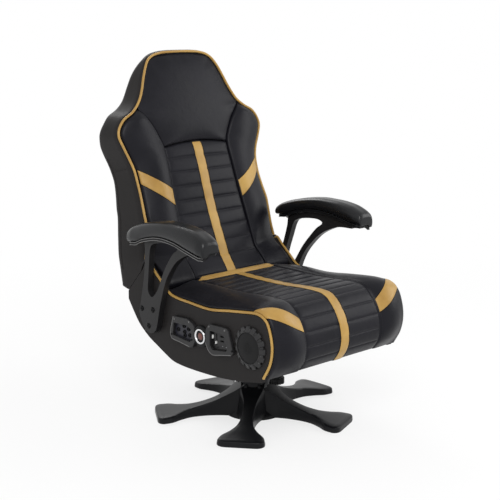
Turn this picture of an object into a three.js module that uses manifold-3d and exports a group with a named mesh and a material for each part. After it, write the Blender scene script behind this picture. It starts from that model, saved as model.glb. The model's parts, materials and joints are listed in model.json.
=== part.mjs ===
// A gaming chair: an upholstered seat and folding backrest with armrests and a
// sound panel, carried by a tilting swivel on a five-legged pedestal.
// Millimetres, +Z up. The chair faces -Y and its sound panel is on the -X side.
// Heights are above the floor, and Y and X are from the swivel's axis.
import * as THREE from 'three';
import { mergeVertices } from 'three/addons/utils/BufferGeometryUtils.js';
import Module from 'manifold-3d';

const wasm = await Module();
wasm.setup();

// Clearances
const gap = 0.3;
const looseGap = 1;
const overrun = 6;

// Seat body
const seatReach = 375;
const seatHeight = 437;
const undersideHeight = 203;
const seatHalfWidth = 268;
const panelThickness = 18;
const cushionDepth = 66;
const frontPadding = 46;
const bodyDepth = seatHeight - undersideHeight;
const panelInner = seatHalfWidth - panelThickness;
const sidePoint = ([yShare, zShare]) => [yShare * seatReach, undersideHeight + zShare * bodyDepth];

// Backrest, from the fold axis
const foldShare = 0.36;
const foldY = foldShare * seatReach;
const foldBelowSeat = 12;
const backHeight = 661;
const backLean = 212;
const wingOverhang = 14;
const wingHalfWidth = seatHalfWidth + wingOverhang;
const padThickness = 50;
const trayWall = 10;
const foldZ = seatHeight - foldBelowSeat;

// Piping along the seams
const pipingRadius = 4.3;
const pipingSides = 6;
const seatPipingSteps = 32;
const backPipingSteps = 76;

// Armrests, whose rear ends lie behind the fold and whose feet are on the side panels
const armLength = 412;
const armRise = 356;
const armOverhang = 87;
const armFront = foldY + armOverhang - armLength;
const flangeShare = 0.312;
const flangeFoot = undersideHeight + flangeShare * bodyDepth;
const armPoint = ([y, z]) => [armFront + y * armLength, flangeFoot + z * armRise];

// Sound panel on the left side, its places measured from the round button's
const buttonShares = [-0.192, 0.4573];
const [buttonY, buttonZ] = sidePoint(buttonShares);
const buttonRadius = 16;
const [moduleLengthShare, moduleHeightShare] = [0.2667, 0.359];
const moduleLength = moduleLengthShare * seatReach;
const moduleHeight = moduleHeightShare * bodyDepth;

// Pedestal
const legReach = 304;
const legCount = 5;
const firstLegAngle = THREE.MathUtils.degToRad(3.4);
const hubHeight = 110;
const hubRadius = 47;
const postRadius = 24;
const tiltZ = 180;

// Round pieces
const fineSides = 24;
const roundSides = 16;
const boltSides = 8;

const finish = (color, roughness, metalness = 0) =>
  new THREE.MeshStandardMaterial({ color, roughness, metalness });
const leather = finish(0x1c1c1f, 0.5);
const sideLeather = finish(0x262422, 0.7);
const goldLeather = finish(0xc0944a, 0.45);
const satinPlastic = finish(0x232427, 0.5);
const plastic = finish(0x17181a, 0.45);
const chrome = finish(0xd8d8d8, 0.2, 0.9);
const steel = finish(0x6c6f73, 0.4, 0.9);
const blackSteel = finish(0x1a1a1c, 0.5, 0.6);
const board = finish(0x9a7b52, 0.85);
const rubber = finish(0x151515, 0.9);
const redPlastic = finish(0x8a4634, 0.5);
const whitePlastic = finish(0xe4e4e0, 0.45);

const chair = new THREE.Group();
const part = new THREE.Group();
part.add(chair);

const place = (name, material, geometry) => {
  const mesh = new THREE.Mesh(geometry, material);
  mesh.name = name;
  chair.add(mesh);
  return mesh;
};

// Closed shapes

const signedVolume = (geometry) => {
  const at = geometry.getAttribute('position');
  const [a, b, c] = [new THREE.Vector3(), new THREE.Vector3(), new THREE.Vector3()];
  let sum = 0;
  for (let i = 0; i < geometry.index.count; i += 3) {
    a.fromBufferAttribute(at, geometry.index.getX(i));
    b.fromBufferAttribute(at, geometry.index.getX(i + 1));
    c.fromBufferAttribute(at, geometry.index.getX(i + 2));
    sum += a.dot(b.cross(c));
  }
  return sum;
};

const reverseFaces = (geometry) => {
  const index = Array.from(geometry.index.array);
  for (let i = 0; i < index.length; i += 3) [index[i], index[i + 1]] = [index[i + 1], index[i]];
  geometry.setIndex(index);
  return geometry;
};

const facingOut = (geometry) => (signedVolume(geometry) < 0 ? reverseFaces(geometry) : geometry);

const meshFrom = (points, faces) => {
  const geometry = new THREE.BufferGeometry();
  geometry.setAttribute('position', new THREE.Float32BufferAttribute(points.flat(), 3));
  geometry.setIndex(faces.flat());
  return facingOut(geometry);
};

// Rings of points, all of one count, joined in order and closed at both ends.
const loft = (rings) => {
  const count = rings[0].length;
  const points = rings.flat();
  const faces = [];
  for (let i = 0; i + 1 < rings.length; i += 1) {
    for (let j = 0; j < count; j += 1) {
      const [a, b] = [i * count + j, i * count + ((j + 1) % count)];
      faces.push([a, b, b + count], [a, b + count, a + count]);
    }
  }
  for (const [ring, flip] of [[0, true], [rings.length - 1, false]]) {
    const middle = [0, 1, 2].map((k) => rings[ring].reduce((sum, p) => sum + p[k], 0) / count);
    const hub = points.push(middle) - 1;
    for (let j = 0; j < count; j += 1) {
      const [a, b] = [ring * count + j, ring * count + ((j + 1) % count)];
      faces.push(flip ? [hub, b, a] : [hub, a, b]);
    }
  }
  return meshFrom(points, faces);
};

// A pad: a fine outer grid of points over a plain back that two rails bound.
const pad = (grid, rail) => {
  const [rows, columns] = [grid.length, grid[0].length];
  const points = [...grid.flat(), ...rail.flat()];
  const top = (i, j) => i * columns + j;
  const back = (i, side) => rows * columns + i * 2 + side;
  const faces = [];
  const quad = (a, b, c, d) => faces.push([a, b, c], [a, c, d]);
  for (let i = 0; i + 1 < rows; i += 1) {
    for (let j = 0; j + 1 < columns; j += 1) {
      quad(top(i, j), top(i, j + 1), top(i + 1, j + 1), top(i + 1, j));
    }
    quad(back(i, 0), back(i + 1, 0), back(i + 1, 1), back(i, 1));
    quad(top(i, 0), top(i + 1, 0), back(i + 1, 0), back(i, 0));
    quad(top(i, columns - 1), back(i, 1), back(i + 1, 1), top(i + 1, columns - 1));
  }
  for (let j = 0; j + 1 < columns; j += 1) {
    faces.push([back(0, 0), top(0, j + 1), top(0, j)]);
    faces.push([back(rows - 1, 0), top(rows - 1, j), top(rows - 1, j + 1)]);
  }
  faces.push([back(0, 0), back(0, 1), top(0, columns - 1)]);
  faces.push([back(rows - 1, 0), top(rows - 1, columns - 1), back(rows - 1, 1)]);
  return meshFrom(points, faces);
};

const indexed = (geometry) => {
  geometry.deleteAttribute('normal');
  geometry.deleteAttribute('uv');
  return mergeVertices(geometry);
};

const toSolid = (geometry) => {
  const plain = geometry.getAttribute('normal') ? indexed(geometry) : geometry;
  const vertProperties = new Float32Array(plain.getAttribute('position').array);
  const triVerts = new Uint32Array(plain.index.array);
  return new wasm.Manifold(new wasm.Mesh({ numProp: 3, vertProperties, triVerts }));
};

const toGeometry = (solid) => {
  const { vertProperties, triVerts } = solid.getMesh();
  const geometry = new THREE.BufferGeometry();
  geometry.setAttribute('position', new THREE.Float32BufferAttribute(vertProperties, 3));
  geometry.setIndex(Array.from(triVerts));
  return geometry;
};

const join = (...shapes) =>
  toGeometry(shapes.map(toSolid).reduce((sum, shape) => sum.add(shape)));
const cut = (shape, ...tools) =>
  toGeometry(tools.map(toSolid).reduce((rest, tool) => rest.subtract(tool), toSolid(shape)));

const mirrored = (geometry) => {
  const copy = (geometry.index ? geometry : indexed(geometry)).clone();
  copy.scale(-1, 1, 1);
  return reverseFaces(copy);
};

const placeBothSides = (name, material, geometry) => {
  const plain = indexed(geometry.clone());
  place(`${name}_right`, material, plain);
  place(`${name}_left`, material, mirrored(plain));
};

const box = (x0, x1, y0, y1, z0, z1) =>
  new THREE.BoxGeometry(x1 - x0, y1 - y0, z1 - z0)
    .translate((x0 + x1) / 2, (y0 + y1) / 2, (z0 + z1) / 2);

const uprightCylinder = (radius, z0, z1, x = 0, y = 0, sides = roundSides) =>
  new THREE.CylinderGeometry(radius, radius, z1 - z0, sides)
    .rotateX(Math.PI / 2)
    .translate(x, y, (z0 + z1) / 2);

const crossCylinder = (radius, x0, x1, y, z, sides = roundSides, farRadius = radius) =>
  new THREE.CylinderGeometry(radius, farRadius, x1 - x0, sides)
    .rotateZ(Math.PI / 2)
    .translate((x0 + x1) / 2, y, z);

// A plate between two X planes, from its outline in Y and Z.
const sidePlate = (outline, x0, x1, holes = []) => {
  const shape = new THREE.Shape(outline.map(([y, z]) => new THREE.Vector2(y, z)));
  shape.holes = holes.map((hole) => new THREE.Path(hole.map(([y, z]) => new THREE.Vector2(y, z))));
  const geometry = new THREE.ExtrudeGeometry(shape, { depth: x1 - x0, bevelEnabled: false });
  const turn = new THREE.Matrix4().makeBasis(
    new THREE.Vector3(0, 1, 0),
    new THREE.Vector3(0, 0, 1),
    new THREE.Vector3(1, 0, 0),
  );
  return geometry.applyMatrix4(turn).translate(x0, 0, 0);
};

const ringOf = (radius, y, z, sides) =>
  Array.from({ length: sides }, (_, k) => {
    const angle = (2 * Math.PI * k) / sides;
    return [y + radius * Math.cos(angle), z + radius * Math.sin(angle)];
  });

const tubeAlong = (points, radius, sides, steps) => {
  const path = new THREE.CatmullRomCurve3(points.map((p) => new THREE.Vector3(...p)), false, 'centripetal');
  const section = new THREE.Shape(ringOf(radius, 0, 0, sides).map(([a, b]) => new THREE.Vector2(a, b)));
  return new THREE.ExtrudeGeometry(section, { steps, extrudePath: path, bevelEnabled: false });
};

const revolved = (profile, sides = fineSides) => {
  const outline = profile.map(([r, z]) => new THREE.Vector2(r, z));
  return facingOut(indexed(new THREE.LatheGeometry(outline, sides).rotateX(Math.PI / 2)));
};

// A smooth function through points whose first numbers rise.
const through = (points) => {
  const slope = (k) => {
    const [p, q] = [points[Math.max(k - 1, 0)], points[Math.min(k + 1, points.length - 1)]];
    return (q[1] - p[1]) / (q[0] - p[0]);
  };
  return (x) => {
    const at = Math.min(Math.max(x, points[0][0]), points[points.length - 1][0]);
    const next = Math.max(points.findIndex((p) => p[0] >= at), 1);
    const [[x0, y0], [x1, y1]] = [points[next - 1], points[next]];
    const step = x1 - x0;
    const t = (at - x0) / step;
    const ease = t * t * (3 - 2 * t);
    const lean = t * (1 - t) * ((1 - t) * slope(next - 1) - t * slope(next)) * step;
    return y0 + (y1 - y0) * ease + lean;
  };
};

const straightThrough = (points) => (x) => {
  const next = Math.min(Math.max(points.findIndex((p) => p[0] >= x), 1), points.length - 1);
  const [[x0, y0], [x1, y1]] = [points[next - 1], points[next]];
  return y0 + (y1 - y0) * Math.min(Math.max((x - x0) / (x1 - x0), 0), 1);
};

const mix = (a, b, t) => a + (b - a) * t;
const steps = (count) => Array.from({ length: count + 1 }, (_, k) => k / count);

// Sewn channels over a cushion's length: pairs of a place and its depth, in shares.
const channelShares = [[0, 1], [0.2, 0.2], [0.5, 0], [0.8, 0.2]];
const channelled = (count) => [
  ...Array.from({ length: count }, (_, k) => channelShares.map(([s, d]) => [(k + s) / count, d])).flat(),
  [1, 1],
];

// Moves each point of an open outline sideways, to its left for a positive shift.
const shifted = (outline, shift) =>
  outline.map(([y, z], k) => {
    const [before, after] = [outline[Math.max(k - 1, 0)], outline[Math.min(k + 1, outline.length - 1)]];
    const along = new THREE.Vector2(after[0] - before[0], after[1] - before[1]).normalize();
    return [y - along.y * shift, z + along.x * shift];
  });

// Outlines of the seat's side, in shares of its reach and of its body's depth

const pipedEdgeShares = [
  [0.473, 1.216], [0.403, 1.111], [0.331, 1.017], [0.213, 0.872], [0.093, 0.833],
  [-0.021, 0.825], [-0.267, 0.812], [-0.491, 0.863], [-0.699, 0.910], [-0.773, 0.923],
  [-0.837, 0.910], [-0.891, 0.855], [-0.933, 0.705], [-0.947, 0.534], [-0.925, 0.363],
  [-0.859, 0.179],
];
const lowerEdgeShares = [
  [-0.843, 0.124], [-0.616, 0.051], [-0.336, 0], [0.147, 0], [0.256, 0.060], [0.357, 0.132],
  [0.459, 0.205], [0.536, 0.282], [0.603, 0.368], [0.680, 0.517], [0.755, 0.662],
];
const splitFootShares = [0.736, 0.748];
const splitTopShares = [0.491, 1.167];
const curveOf = (outline) =>
  new THREE.CatmullRomCurve3(outline.map(([y, z]) => new THREE.Vector3(0, y, z)), false, 'centripetal');
const pipedEdge = curveOf(pipedEdgeShares.map(sidePoint)).getSpacedPoints(seatPipingSteps)
  .map((p) => [p.y, p.z]);
const lowerEdge = lowerEdgeShares.map(sidePoint);
const splitFoot = sidePoint(splitFootShares);
const splitTop = sidePoint(splitTopShares);
const pipingSlot = pipingRadius + gap;
const panelTop = shifted(pipedEdge, pipingSlot);

// The side panels end behind in a straight split and an arc about the fold axis,
// which the backrest's shell turns past when it folds.
const hornRadius = Math.hypot(panelTop[0][0] - foldY, panelTop[0][1] - foldZ);
const hornSteps = 6;
const splitGap = 3;
const angleAtFold = ([y, z]) => Math.atan2(z - foldZ, y - foldY);
const hornEdge = () => {
  const foot = new THREE.Vector2(...splitFoot);
  const along = new THREE.Vector2(...splitTop).sub(foot).normalize();
  const toAxis = new THREE.Vector2(foldY, foldZ).sub(foot);
  const halfChord = Math.sqrt(Math.max(hornRadius ** 2 - along.cross(toAxis) ** 2, 0));
  const start = foot.addScaledVector(along, along.dot(toAxis) - halfChord);
  const [from, to] = [angleAtFold(start.toArray()), angleAtFold(panelTop[0])];
  return steps(hornSteps).map((t) => mix(from, to, t))
    .map((angle) => [foldY + hornRadius * Math.cos(angle), foldZ + hornRadius * Math.sin(angle)]);
};
const fromButton = (shares) =>
  shares.map(([y, z]) => [buttonY + y * moduleLength, buttonZ + z * moduleHeight]);

// Surfaces of the backrest, in shares of its height, wing half-width and lean

const backZ = (share) => foldZ + share * backHeight;
const backY = (share) => foldY + share * backLean;
const rimShares = [
  [0.077, 0.926, 0.245], [0.097, 0.922, 0.269], [0.162, 0.904, 0.302], [0.253, 0.879, 0.340],
  [0.289, 0.879, 0.373], [0.349, 0.865, 0.453], [0.415, 0.858, 0.538], [0.484, 0.869, 0.608],
  [0.533, 0.904, 0.651], [0.585, 0.957, 0.679], [0.637, 1, 0.712], [0.667, 0.986, 0.731],
  [0.708, 0.915, 0.745], [0.737, 0.794, 0.764], [0.767, 0.709, 0.797], [0.800, 0.652, 0.821],
  [0.840, 0.603, 0.858], [0.884, 0.560, 0.901], [0.930, 0.507, 0.943], [0.965, 0.450, 0.981],
  [0.985, 0.379, 0.995], [0.996, 0.280, 1], [1, 0.170, 1],
];
const centreShares = [
  [0.057, -0.019], [0.138, 0.090], [0.250, 0.245], [0.363, 0.373], [0.478, 0.486],
  [0.592, 0.627], [0.667, 0.670], [0.737, 0.717], [0.800, 0.769], [0.884, 0.844],
  [0.930, 0.896], [0.965, 0.939], [1, 0.991],
];
const rearShares = [
  [-0.051, 0.896], [0.023, 0.939], [0.097, 0.981], [0.174, 1.019], [0.265, 1.061],
  [0.355, 1.113], [0.416, 1.156], [0.464, 1.226], [0.501, 1.274], [0.539, 1.311],
  [0.578, 1.316], [0.617, 1.278], [0.654, 1.231], [0.687, 1.193], [0.756, 1.212],
  [0.805, 1.241], [0.840, 1.259], [0.900, 1.250], [0.949, 1.212], [0.983, 1.156], [1, 1.132],
];
const depthShares = [[0.057, 1], [0.6, 0.96], [0.737, 0.8], [0.884, 0.64], [0.965, 0.36], [1, 0.24]];
const seamShares = [
  [-0.06, 0.511], [0, 0.511], [0.386, 0.461], [0.573, 0.447], [0.628, 0.497], [0.673, 0.553],
  [0.719, 0.638], [0.749, 0.710], [0.771, 0.766],
];
const rim = rimShares.map(([z, x, y]) => ({ x: x * wingHalfWidth, y: backY(y), z: backZ(z) }));
const rimY = through(rim.map((p) => [p.z, p.y]));
const centreY = through(centreShares.map(([z, y]) => [backZ(z), backY(y)]));
const rearY = through(rearShares.map(([z, y]) => [backZ(z), backY(y)]));
const padDepth = through(depthShares.map(([z, d]) => [backZ(z), d * padThickness]));
const seamX = through(seamShares.map(([z, x]) => [backZ(z), x * wingHalfWidth]));

// The rim's outline in X and Z, moved inwards.
const rimInside = (inset) => shifted(rim.map((p) => [p.x, p.z]), inset);
const halfWidthInside = (inset) => {
  const outline = rimInside(inset);
  return through(outline.map(([x, z]) => [z, x]));
};
const rimSlot = pipingRadius + gap + looseGap;
const padInset = rimSlot + gap + looseGap;
const padHalf = halfWidthInside(padInset);
const headFootShare = 0.573;
const headArch = 12;
const seamDrop = 5;
const seamGap = 1;
const rollRadius = 34;
// Above the fold the pads ease from the roll to the back's form, over these heights at the middle and the side.
const creaseSpans = [38, 75];
const crease = 5.5;
const bolsterPuff = 15;
const rimLip = 3;
const dishPower = 2.5;
const puffFootShare = 0.06;
const puffRiseShare = 0.16;
const padBackZ = backZ(centreShares[0][0]);
// The pads' backs lie on the board, which is straight between these heights.
const boardShares = [0.057, 0.115, 0.16, 0.25, 0.36, 0.48, 0.6, 0.67, 0.74, 0.767, 0.8, 0.88, 0.93, 1];
const padRearY = straightThrough(boardShares.map((share) => {
  const z = backZ(share);
  return [z, centreY(z) + padDepth(z)];
}));
const hingeThickness = 4;
const hingeWasher = 7;
const hingeInner = panelInner - hingeWasher - hingeThickness;
const lowPadHalf = hingeInner - gap;
const lowPadTopShare = 0.125;
const lowPadTopZ = backZ(lowPadTopShare);

const frontY = (x, z) => {
  const reach = Math.abs(x);
  const half = Math.max(padHalf(z), looseGap);
  const seam = Math.min(seamX(z), half);
  const flat = mix(centreY(z), rimY(z) - rimLip, Math.min(reach / half, 1) ** dishPower);
  const risen = Math.min(Math.max((z - backZ(puffFootShare)) / (puffRiseShare * backHeight), 0), 1);
  const across = reach > seam && half > seam ? (reach - seam) / (half - seam) : 0;
  const upper = flat - bolsterPuff * risen * Math.sin(Math.PI * Math.min(across, 1));
  const rise = z - foldZ;
  if (rise < 0) return foldY - Math.sqrt(Math.max(rollRadius ** 2 - rise ** 2, 0));
  const span = mix(...creaseSpans, Math.min(reach / half, 1));
  return mix(foldY - rollRadius, upper, THREE.MathUtils.smoothstep(rise, 0, span));
};

// Pedestal

const makePedestal = () => {
  const bushingWall = 6;
  const boreRadius = postRadius + bushingWall;
  const hubFoot = 30;
  const hubShares = [
    [1, 1], [0.98, 0.86], [1.03, 0.68], [1.14, 0.5], [1.32, 0.34], [1.6, 0.18], [1.88, 0.09], [1.96, 0.045],
  ];
  const skirtFoot = 2.5;
  const hubProfile = hubShares.map(([r, z]) => [r * hubRadius, z * hubHeight]);
  const hub = revolved([
    [0, hubHeight], ...hubProfile, [hubProfile.at(-1)[0], skirtFoot], [0, skirtFoot],
  ]);

  // Each row: reach, top half-width, bottom half-width, top height and foot height,
  // in shares of the leg's reach, its foot's half-width and the hub's height.
  const footHalfWidth = 70;
  const legShares = [
    [1, 0.66, 0.68, 0.13, 0], [0.98, 0.86, 0.88, 0.155, 0], [0.935, 0.97, 1, 0.168, 0],
    [0.86, 0.9, 0.95, 0.186, 0.01], [0.76, 0.59, 0.65, 0.222, 0.015], [0.66, 0.38, 0.43, 0.262, 0.02],
    [0.56, 0.29, 0.34, 0.318, 0.02], [0.47, 0.27, 0.33, 0.385, 0.02], [0.39, 0.27, 0.36, 0.46, 0.022],
    [0.31, 0.29, 0.44, 0.56, 0.025], [0.24, 0.32, 0.55, 0.66, 0.03], [0.166, 0.34, 0.56, 0.8, 0.035],
    [0.103, 0.3, 0.5, 0.9, 0.035],
  ];
  // The leg's section: half-width and height of each corner, in shares.
  const [crownShare, shoulderShare, skirtShare, soleShare] = [0.93, 0.86, 0.2, 0.96];
  const leg = () => loft(legShares.map(([reach, top, bottom, height, foot]) => {
    const x = reach * legReach;
    const [topHalf, bottomHalf] = [top * footHalfWidth, bottom * footHalfWidth];
    const [z1, z0] = [height * hubHeight, foot * hubHeight];
    const corners = [
      [crownShare * topHalf, z1], [topHalf, mix(z0, z1, shoulderShare)],
      [bottomHalf, mix(z0, z1, skirtShare)], [soleShare * bottomHalf, z0],
    ];
    return [...corners, ...corners.map(([y, z]) => [-y, z]).reverse()].map(([y, z]) => [x, y, z]);
  }));
  const legAngles = Array.from({ length: legCount }, (_, k) => firstLegAngle + (2 * Math.PI * k) / legCount);
  const legs = legAngles.map((angle) => leg().rotateZ(angle));
  const bore = uprightCylinder(boreRadius, -overrun, hubHeight + overrun, 0, 0, fineSides);
  const recess = uprightCylinder(hubRadius, -overrun, hubFoot, 0, 0, fineSides);
  place('pedestal_base', satinPlastic, cut(join(hub, ...legs), bore, recess));

  // The bushing lines the hub's bore, and its flange carries the post's shoulder.
  const bushingInner = postRadius + gap;
  const bushingOuter = boreRadius - gap;
  const flangeRadius = hubRadius - bushingWall;
  const flangeThickness = 3;
  const flangeZ = hubHeight + gap;
  place('swivel_bushing', plastic, revolved([
    [bushingInner, hubFoot], [bushingOuter, hubFoot], [bushingOuter, flangeZ],
    [flangeRadius, flangeZ], [flangeRadius, flangeZ + flangeThickness],
    [bushingInner, flangeZ + flangeThickness], [bushingInner, hubFoot],
  ]));

  const shoulderZ = flangeZ + flangeThickness + gap;
  const shoulderHeight = 12;
  const bracketZ = 150;
  const postFoot = 17;
  const clipDrop = 10;
  const grooveZ = hubFoot - clipDrop;
  const grooveDepth = 3;
  const clipThickness = 2;
  place('swivel_post', steel, revolved([
    [0, postFoot], [postRadius, postFoot], [postRadius, grooveZ],
    [postRadius - grooveDepth, grooveZ], [postRadius - grooveDepth, grooveZ + clipThickness + 2 * gap],
    [postRadius, grooveZ + clipThickness + 2 * gap], [postRadius, shoulderZ],
    [flangeRadius, shoulderZ], [flangeRadius, shoulderZ + shoulderHeight],
    [postRadius, shoulderZ + shoulderHeight], [postRadius, bracketZ - gap], [0, bracketZ - gap],
  ]));
  const clipInner = postRadius - grooveDepth + gap;
  place('retaining_clip', steel, revolved([
    [clipInner, grooveZ + gap], [flangeRadius, grooveZ + gap], [flangeRadius, hubFoot - gap],
    [postRadius + gap, hubFoot - gap], [postRadius + gap, grooveZ + gap + clipThickness],
    [clipInner, grooveZ + gap + clipThickness], [clipInner, grooveZ + gap],
  ]));
  return { bracketZ };
};

// Tilting mechanism between the post and the seat

const makeTiltMechanism = ({ bracketZ }) => {
  const plateThickness = 5;
  const cheekInner = 46;
  const cheekOuter = cheekInner + plateThickness;
  const cheekReach = 34;
  const tongueZ = 187;
  const tongueThickness = 4;
  const tongueEnd = -128;
  const rodY = -100;
  const axleRadius = 7;
  const eyeRadius = 15;
  const axleHole = [ringOf(axleRadius + gap, 0, tiltZ, roundSides)];
  const bracketCheek = (x0) => sidePlate([
    [-cheekReach, bracketZ], [cheekReach, bracketZ], [eyeRadius, tiltZ + eyeRadius],
    [-eyeRadius, tiltZ + eyeRadius], [-cheekReach, tongueZ + tongueThickness],
    [rodY - eyeRadius, tongueZ + tongueThickness], [rodY - eyeRadius, tongueZ - tongueThickness],
  ], x0, x0 + plateThickness, axleHole);
  const slotHalf = 9;
  const rodRadius = 5;
  const bracket = join(
    box(-cheekOuter, cheekOuter, -cheekReach, cheekReach, bracketZ, bracketZ + plateThickness),
    bracketCheek(-cheekOuter),
    bracketCheek(cheekInner),
    box(-cheekOuter, cheekOuter, tongueEnd, rodY + 2 * eyeRadius, tongueZ, tongueZ + tongueThickness),
  );
  const rodSlot = box(-rodRadius - looseGap, rodRadius + looseGap, rodY - slotHalf, rodY + slotHalf,
    tongueZ - overrun, tongueZ + tongueThickness + overrun);
  place('tilt_bracket', blackSteel, cut(bracket, rodSlot));
  place('tilt_axle', steel, crossCylinder(axleRadius, -cheekOuter - overrun, cheekOuter + overrun, 0, tiltZ));

  // The mount plate bolts up to the seat's crossbars through the underside pan.
  const panRise = 9;
  const plateTop = undersideHeight + panRise - gap;
  const mountThickness = 4;
  const plateBottom = plateTop - mountThickness;
  const plateHalfWidth = 90;
  const plateFront = -128;
  const plateRear = 62;
  const earOuter = cheekInner - gap - looseGap;
  const earInner = earOuter - plateThickness;
  const earOutline = [
    [-cheekReach, plateBottom + mountThickness / 2], [-eyeRadius, tiltZ - eyeRadius],
    [eyeRadius, tiltZ - eyeRadius], [cheekReach, plateBottom + mountThickness / 2],
  ];
  const boltInset = 18;
  const boltReach = plateHalfWidth - boltInset;
  const boltRadius = 4;
  const barFrontY = -100;
  const barRearY = 40;
  const boltPlaces = [barFrontY, barRearY].flatMap((y) => [[-boltReach, y], [boltReach, y]]);
  const boltHoles = (z0, z1) =>
    boltPlaces.map(([x, y]) => uprightCylinder(boltRadius + gap, z0, z1, x, y, boltSides));
  const rodHole = uprightCylinder(rodRadius + gap, plateBottom - overrun, plateTop + overrun, 0, rodY);
  const studLength = 42;
  const studTip = plateTop + studLength;
  const mountPlate = join(
    box(-plateHalfWidth, plateHalfWidth, plateFront, plateRear, plateBottom, plateTop),
    ...boltPlaces.flatMap(([x, y]) => [
      uprightCylinder(boltRadius, plateBottom, studTip, x, y, boltSides),
      uprightCylinder(2 * boltRadius, plateBottom - boltRadius, plateTop, x, y, boltSides / 2),
    ]),
    sidePlate(earOutline, -earOuter, -earInner, axleHole),
    sidePlate(earOutline, earInner, earOuter, axleHole),
  );
  place('seat_mount_plate', blackSteel, cut(mountPlate, rodHole));

  // A rubber pad on the tongue stops the seat at its upright.
  const stopRear = rodY + 2 * eyeRadius;
  place('tilt_stop_pad', rubber, box(-eyeRadius, eyeRadius, stopRear - eyeRadius, stopRear,
    tongueZ + tongueThickness + gap, plateBottom - gap));

  // The rod hangs from the plate, and the knob on it presses the spring to the tongue.
  const knobTop = 136;
  const knobBottom = 116;
  const knobRadius = 22;
  const nutRadius = 9;
  const nutHeight = 6;
  const rodFoot = knobBottom - gap;
  place('tension_rod', steel, join(
    uprightCylinder(rodRadius, rodFoot, plateTop, 0, rodY),
    uprightCylinder(nutRadius, plateBottom - gap - nutHeight, plateBottom - gap, 0, rodY, boltSides),
  ));
  const gripCount = 8;
  const gripRadius = 3;
  const knobHole = uprightCylinder(rodRadius + gap, knobBottom - overrun, knobTop + overrun, 0, rodY);
  const grips = Array.from({ length: gripCount }, (_, k) => {
    const angle = (2 * Math.PI * k) / gripCount;
    return uprightCylinder(gripRadius, knobBottom - overrun, knobTop + overrun,
      knobRadius * Math.cos(angle), rodY + knobRadius * Math.sin(angle), boltSides);
  });
  place('tension_knob', plastic, cut(
    uprightCylinder(knobRadius, knobBottom, knobTop, 0, rodY, 2 * roundSides), knobHole, ...grips));

  const springWire = 2.2;
  const springRadius = 13;
  const springTurns = 4.5;
  const springSteps = 8;
  const springSides = 5;
  const springTop = tongueZ - gap - springWire;
  const springFoot = knobTop + gap + springWire;
  const springAt = (t) => {
    const angle = 2 * Math.PI * springTurns * t;
    return new THREE.Vector3(springRadius * Math.cos(angle), rodY + springRadius * Math.sin(angle),
      mix(springFoot, springTop, t));
  };
  const springRings = steps(Math.round(springTurns * springSteps)).map((t) => {
    const centre = springAt(t);
    const outward = new THREE.Vector3(centre.x, centre.y - rodY, 0).normalize();
    return Array.from({ length: springSides }, (_, k) => {
      const angle = (2 * Math.PI * k) / springSides;
      const point = centre.clone().addScaledVector(outward, springWire * Math.cos(angle));
      return [point.x, point.y, point.z + springWire * Math.sin(angle)];
    });
  });
  place('tilt_spring', steel, loft(springRings));
  const springPoints = steps(Math.round(springTurns * springSteps)).map(springAt);
  const turnApart = Math.min(...springPoints.slice(springSteps).map((p, k) => p.distanceTo(springPoints[k])));
  console.log(`least gap between the spring's turns: ${(turnApart - 2 * springWire).toFixed(2)} mm`);
  return { panRise, boltHoles, studTip, barFrontY, barRearY };
};

// Seat body

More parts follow.
